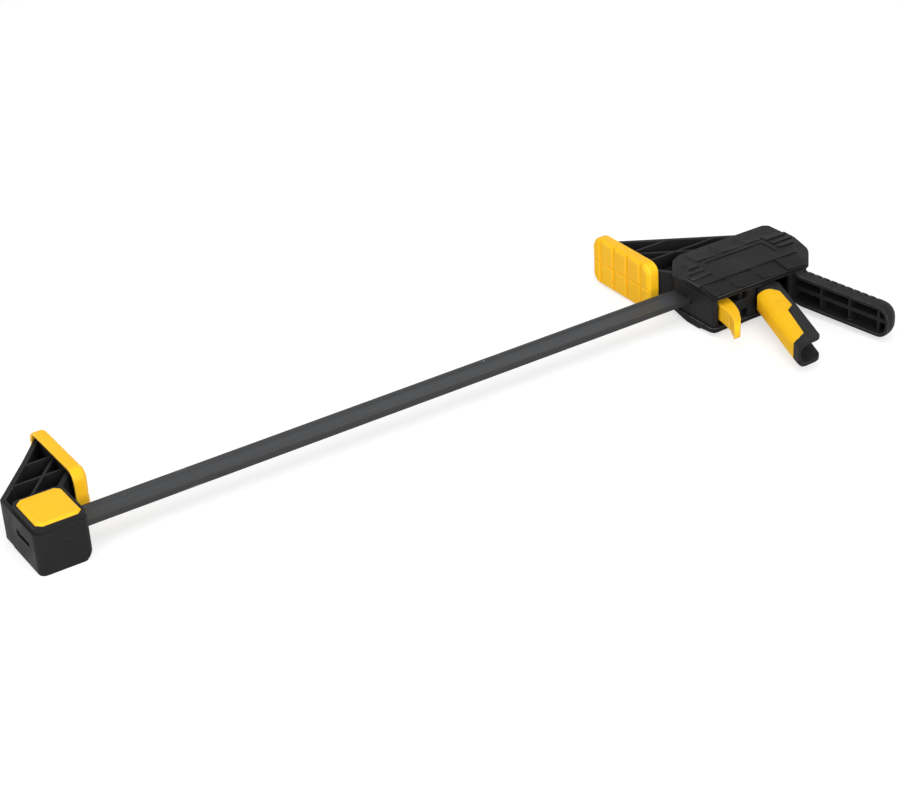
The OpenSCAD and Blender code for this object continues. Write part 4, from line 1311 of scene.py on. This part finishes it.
@dataclass
class FixedJaw:
    """The black end block with its arm, the yellow pad, the button and its peg.

    Attributes:
        frame_round: How the block's edges are rounded.
        pad_round: How the pad's edges are rounded.
        button_round: How the button's edges are rounded.
    """

    frame_round: Rounding = Rounding(0.5)
    pad_round: Rounding = Rounding(0.9, 3, 3.2)
    button_round: Rounding = Rounding(0.6, 3, 0.5)

    def build(self) -> None:
        """Builds the block, the pad and the button."""
        rounded_copy("fixed_jaw_frame", "fixed_jaw_casting", self.frame_round, BLACK, Body.BAR,
                     Slot.BLACK_PLASTIC)
        rounded_copy("fixed_jaw_pad", "fixed_pad_cap", self.pad_round, YELLOW, Body.BAR,
                     Slot.YELLOW_PLASTIC)
        rounded_copy("jaw_button", "push_button", self.button_round, YELLOW, Body.BUTTON,
                     Slot.YELLOW_PLASTIC)
        redress(BRIGHT, "lock_peg")


@dataclass
class Head:
    """The sliding head: frame with jaw arm and handle, two covers, pad, screws and pin.

    Attributes:
        frame_round: How the frame's edges are rounded.
        cover_round: How the covers' edges are rounded.
        pad_round: How the pad's edges are rounded.
    """

    frame_round: Rounding = Rounding(0.5)
    cover_round: Rounding = Rounding(0.6, 2, 3.0)
    pad_round: Rounding = Rounding(0.9, 3, 3.2)

    def build(self) -> None:
        """Builds the head's pieces."""
        rounded_copy("head_frame", "head_casting", self.frame_round, BLACK, Body.HEAD,
                     Slot.BLACK_PLASTIC)
        for node, name in (("top_cover", "upper_shell"), ("bottom_cover", "lower_shell")):
            rounded_copy(node, name, self.cover_round, COVER, Body.HEAD, Slot.COVER_PLASTIC)
        rounded_copy("moving_jaw_pad", "moving_pad_cap", self.pad_round, YELLOW, Body.HEAD,
                     Slot.YELLOW_PLASTIC)
        CoverScrews().build()
        redress(BRIGHT, "lever_pin")


@dataclass
class Levers:
    """The squeeze lever with its soft grip, and the release lever.

    Attributes:
        lever_round: How the squeeze lever's edges are rounded.
        grip_round: How its soft grip's edges are rounded.
        release_round: How the release lever's edges are rounded.
    """

    lever_round: Rounding = Rounding(0.6, 2, 2.6)
    grip_round: Rounding = Rounding(0.5, 2, 2.6)
    release_round: Rounding = Rounding(0.9, 3, 4.5)

    def build(self) -> None:
        """Builds the levers, the grip and its marks."""
        rounded_copy("squeeze_lever", "trigger_core", self.lever_round, BLACK, Body.LEVER,
                     Slot.BLACK_PLASTIC)
        grip = rounded_copy("squeeze_grip", "trigger_grip", self.grip_round, GRIP, Body.LEVER,
                            Slot.GRIP_RUBBER)
        GripMarks().build(grip)
        rounded_copy("release_lever", "release_hook", self.release_round, YELLOW, Body.RELEASE,
                     Slot.YELLOW_PLASTIC)


@dataclass
class DriveWorks:
    """The steel plates and springs inside the head and the block.

    Attributes:
        plates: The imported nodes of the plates.
        springs: The springs.
    """

    plates: tuple[str, ...] = ("drive_plate_front", "drive_plate_rear", "brake_plate")
    springs: tuple[CoilSpring, ...] = (
        CoilSpring("drive_spring", "drive_coil", Body.HEAD, "drive_slide", 3.1),
        CoilSpring("brake_spring", "brake_coil", Body.HEAD, "release_pivot", 1.6),
        CoilSpring("button_spring", "button_coil", Body.BAR, "button_slide", 3.0, True))

    def build(self) -> None:
        """Dresses the plates and winds the springs."""
        redress(PLATE, *self.plates)
        graph = CoilSpring.graph()
        for spring in self.springs:
            spring.build(graph)


@dataclass(frozen=True)
class SoftLamp:
    """A square soft lamp.

    Attributes:
        name: The lamp's name.
        place: Where it hangs, in metres.
        size: Its side, in metres.
        power: Its power, in watts.
    """

    name: str
    place: Triple
    size: float
    power: float

    def hang(self, aim: Triple) -> None:
        """Hangs the lamp.

        Args:
            aim: What it points at, in metres.
        """
        data = bpy.data.lights.new(self.name, "AREA")
        data.size = self.size
        data.energy = self.power
        lamp = add_object(self.name, data)
        lamp.location = self.place
        beam = Vector(aim) - Vector(self.place)
        lamp.rotation_euler = beam.to_track_quat("-Z", "Y").to_euler()


@dataclass
class Studio:
    """The white floor, the soft lamps and the camera of the photograph.

    Attributes:
        eye: The camera's place, in metres.
        yaw: The camera's turn from +Y towards +X, in degrees.
        pitch: How far it looks down, in degrees.
        roll: Its turn about its own line of sight, in degrees.
        lens: Its focal length, in millimetres.
        sensor: Its sensor's width, in millimetres.
        nearest: What is nearer to it than this, in metres, isn't shown.
        aim: What the lamps point at, in metres.
        lamps: The lamps.
        world_level: How bright the surroundings are to the object; to the eye they are white.
        floor_size: The side of the floor, in metres.
        floor_gap: How far the floor lies below the object, in metres.
    """

    eye: Triple = (-0.4348, -1.1524, 0.7647)
    yaw: float = 31.143
    pitch: float = 30.051
    roll: float = 3.53
    lens: float = 89.72
    sensor: float = 36.0
    nearest: float = 0.01
    aim: Triple = (0.25, 0.0, 0.0)
    lamps: tuple[SoftLamp, ...] = (SoftLamp("overhead", (0.2, -0.1, 1.8), 2.0, 13.0),
                                   SoftLamp("front", (0.1, -1.9, 0.8), 1.6, 33.0),
                                   SoftLamp("left", (-2.2, -0.5, 0.8), 1.6, 26.0))
    world_level: float = 0.43
    floor_size: float = 12.0
    floor_gap: float = 0.00005

    def camera(self) -> None:
        """Places the camera and makes it the scene's."""
        yaw, pitch, roll = (math.radians(a) for a in (self.yaw, self.pitch, self.roll))
        ahead = Vector((math.sin(yaw) * math.cos(pitch), math.cos(yaw) * math.cos(pitch),
                        -math.sin(pitch)))
        right = ahead.cross(Vector((0, 0, 1))).normalized()
        down = ahead.cross(right)
        turned = math.cos(roll) * right + math.sin(roll) * down
        below = -math.sin(roll) * right + math.cos(roll) * down
        data = bpy.data.cameras.new("camera")
        data.lens = self.lens
        data.sensor_width = self.sensor
        data.clip_start = self.nearest
        eye = add_object("camera", data)
        facing = Matrix((turned, -below, -ahead)).transposed().to_4x4()
        eye.matrix_world = Matrix.Translation(self.eye) @ facing
        bpy.context.scene.camera = eye

    @staticmethod
    def resting_line() -> tuple[float, float]:
        """Finds the line across the object that the floor touches.

        The object's outline along X is wrapped from below, and the line is the first side of
        the wrap that ends beyond the bar's middle.

        Returns:
            The floor's height at y = 0 and its rise along Y.
        """
        digits = 5
        middle = 0.005
        points = sorted({(round(v.co.y, digits), round(v.co.z, digits))
                         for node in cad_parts.values() for v in node.data.vertices})
        lower: list[tuple[float, float]] = []
        for y, z in points:
            while len(lower) > 1:
                (ya, za), (yb, zb) = lower[-2:]
                if (yb - ya) * (z - za) > (zb - za) * (y - ya):
                    break
                lower.pop()
            lower.append((y, z))
        near, far = next((a, b) for a, b in zip(lower, lower[1:]) if b[0] > middle)
        rise = (far[1] - near[1]) / (far[0] - near[0])
        return near[1] - rise * near[0], rise

    def floor(self) -> None:
        """Lays the floor under the object."""
        height, rise = self.resting_line()
        half = self.floor_size / 2
        corners = [(x, y, height + rise * y - self.floor_gap) for x, y in
                   ((-half, -half), (half, -half), (half, half), (-half, half))]
        mesh = bpy.data.meshes.new("floor")
        mesh.from_pydata(corners, [], [(0, 1, 2, 3)])
        sheet = add_object("floor", mesh)
        FloorWhite().dress(sheet)

    def world(self) -> None:
        """Makes the surroundings: plain light on the object, and white to look at."""
        world = bpy.data.worlds.new("studio")
        world.use_nodes = True
        graph = NodeGraph(world.node_tree)
        level = graph.node("ShaderNodeMapRange", {"Value": graph.seen_directly(),
                           "To Min": self.world_level, "To Max": 1.0})
        sky = graph.node("ShaderNodeBackground", {"Color": (1, 1, 1, 1),
                         "Strength": level.outputs[0]})
        graph.node("ShaderNodeOutputWorld", {"Surface": sky.outputs[0]})
        bpy.context.scene.world = world

    def build(self) -> None:
        """Builds the whole studio."""
        self.camera()
        self.floor()
        self.world()
        for lamp in self.lamps:
            lamp.hang(self.aim)
        bpy.context.scene.view_settings.view_transform = "Standard"


def main() -> None:
    """Builds the clamp and the studio in order."""
    logging.basicConfig(level=logging.INFO, format="%(name)s: %(message)s")
    for assembly in (SteelBar(), FixedJaw(), Head(), Levers(), DriveWorks(), Studio()):
        assembly.build()
        LOG.info("%s is done", type(assembly).__name__)


if __name__ == "__main__":
    main()
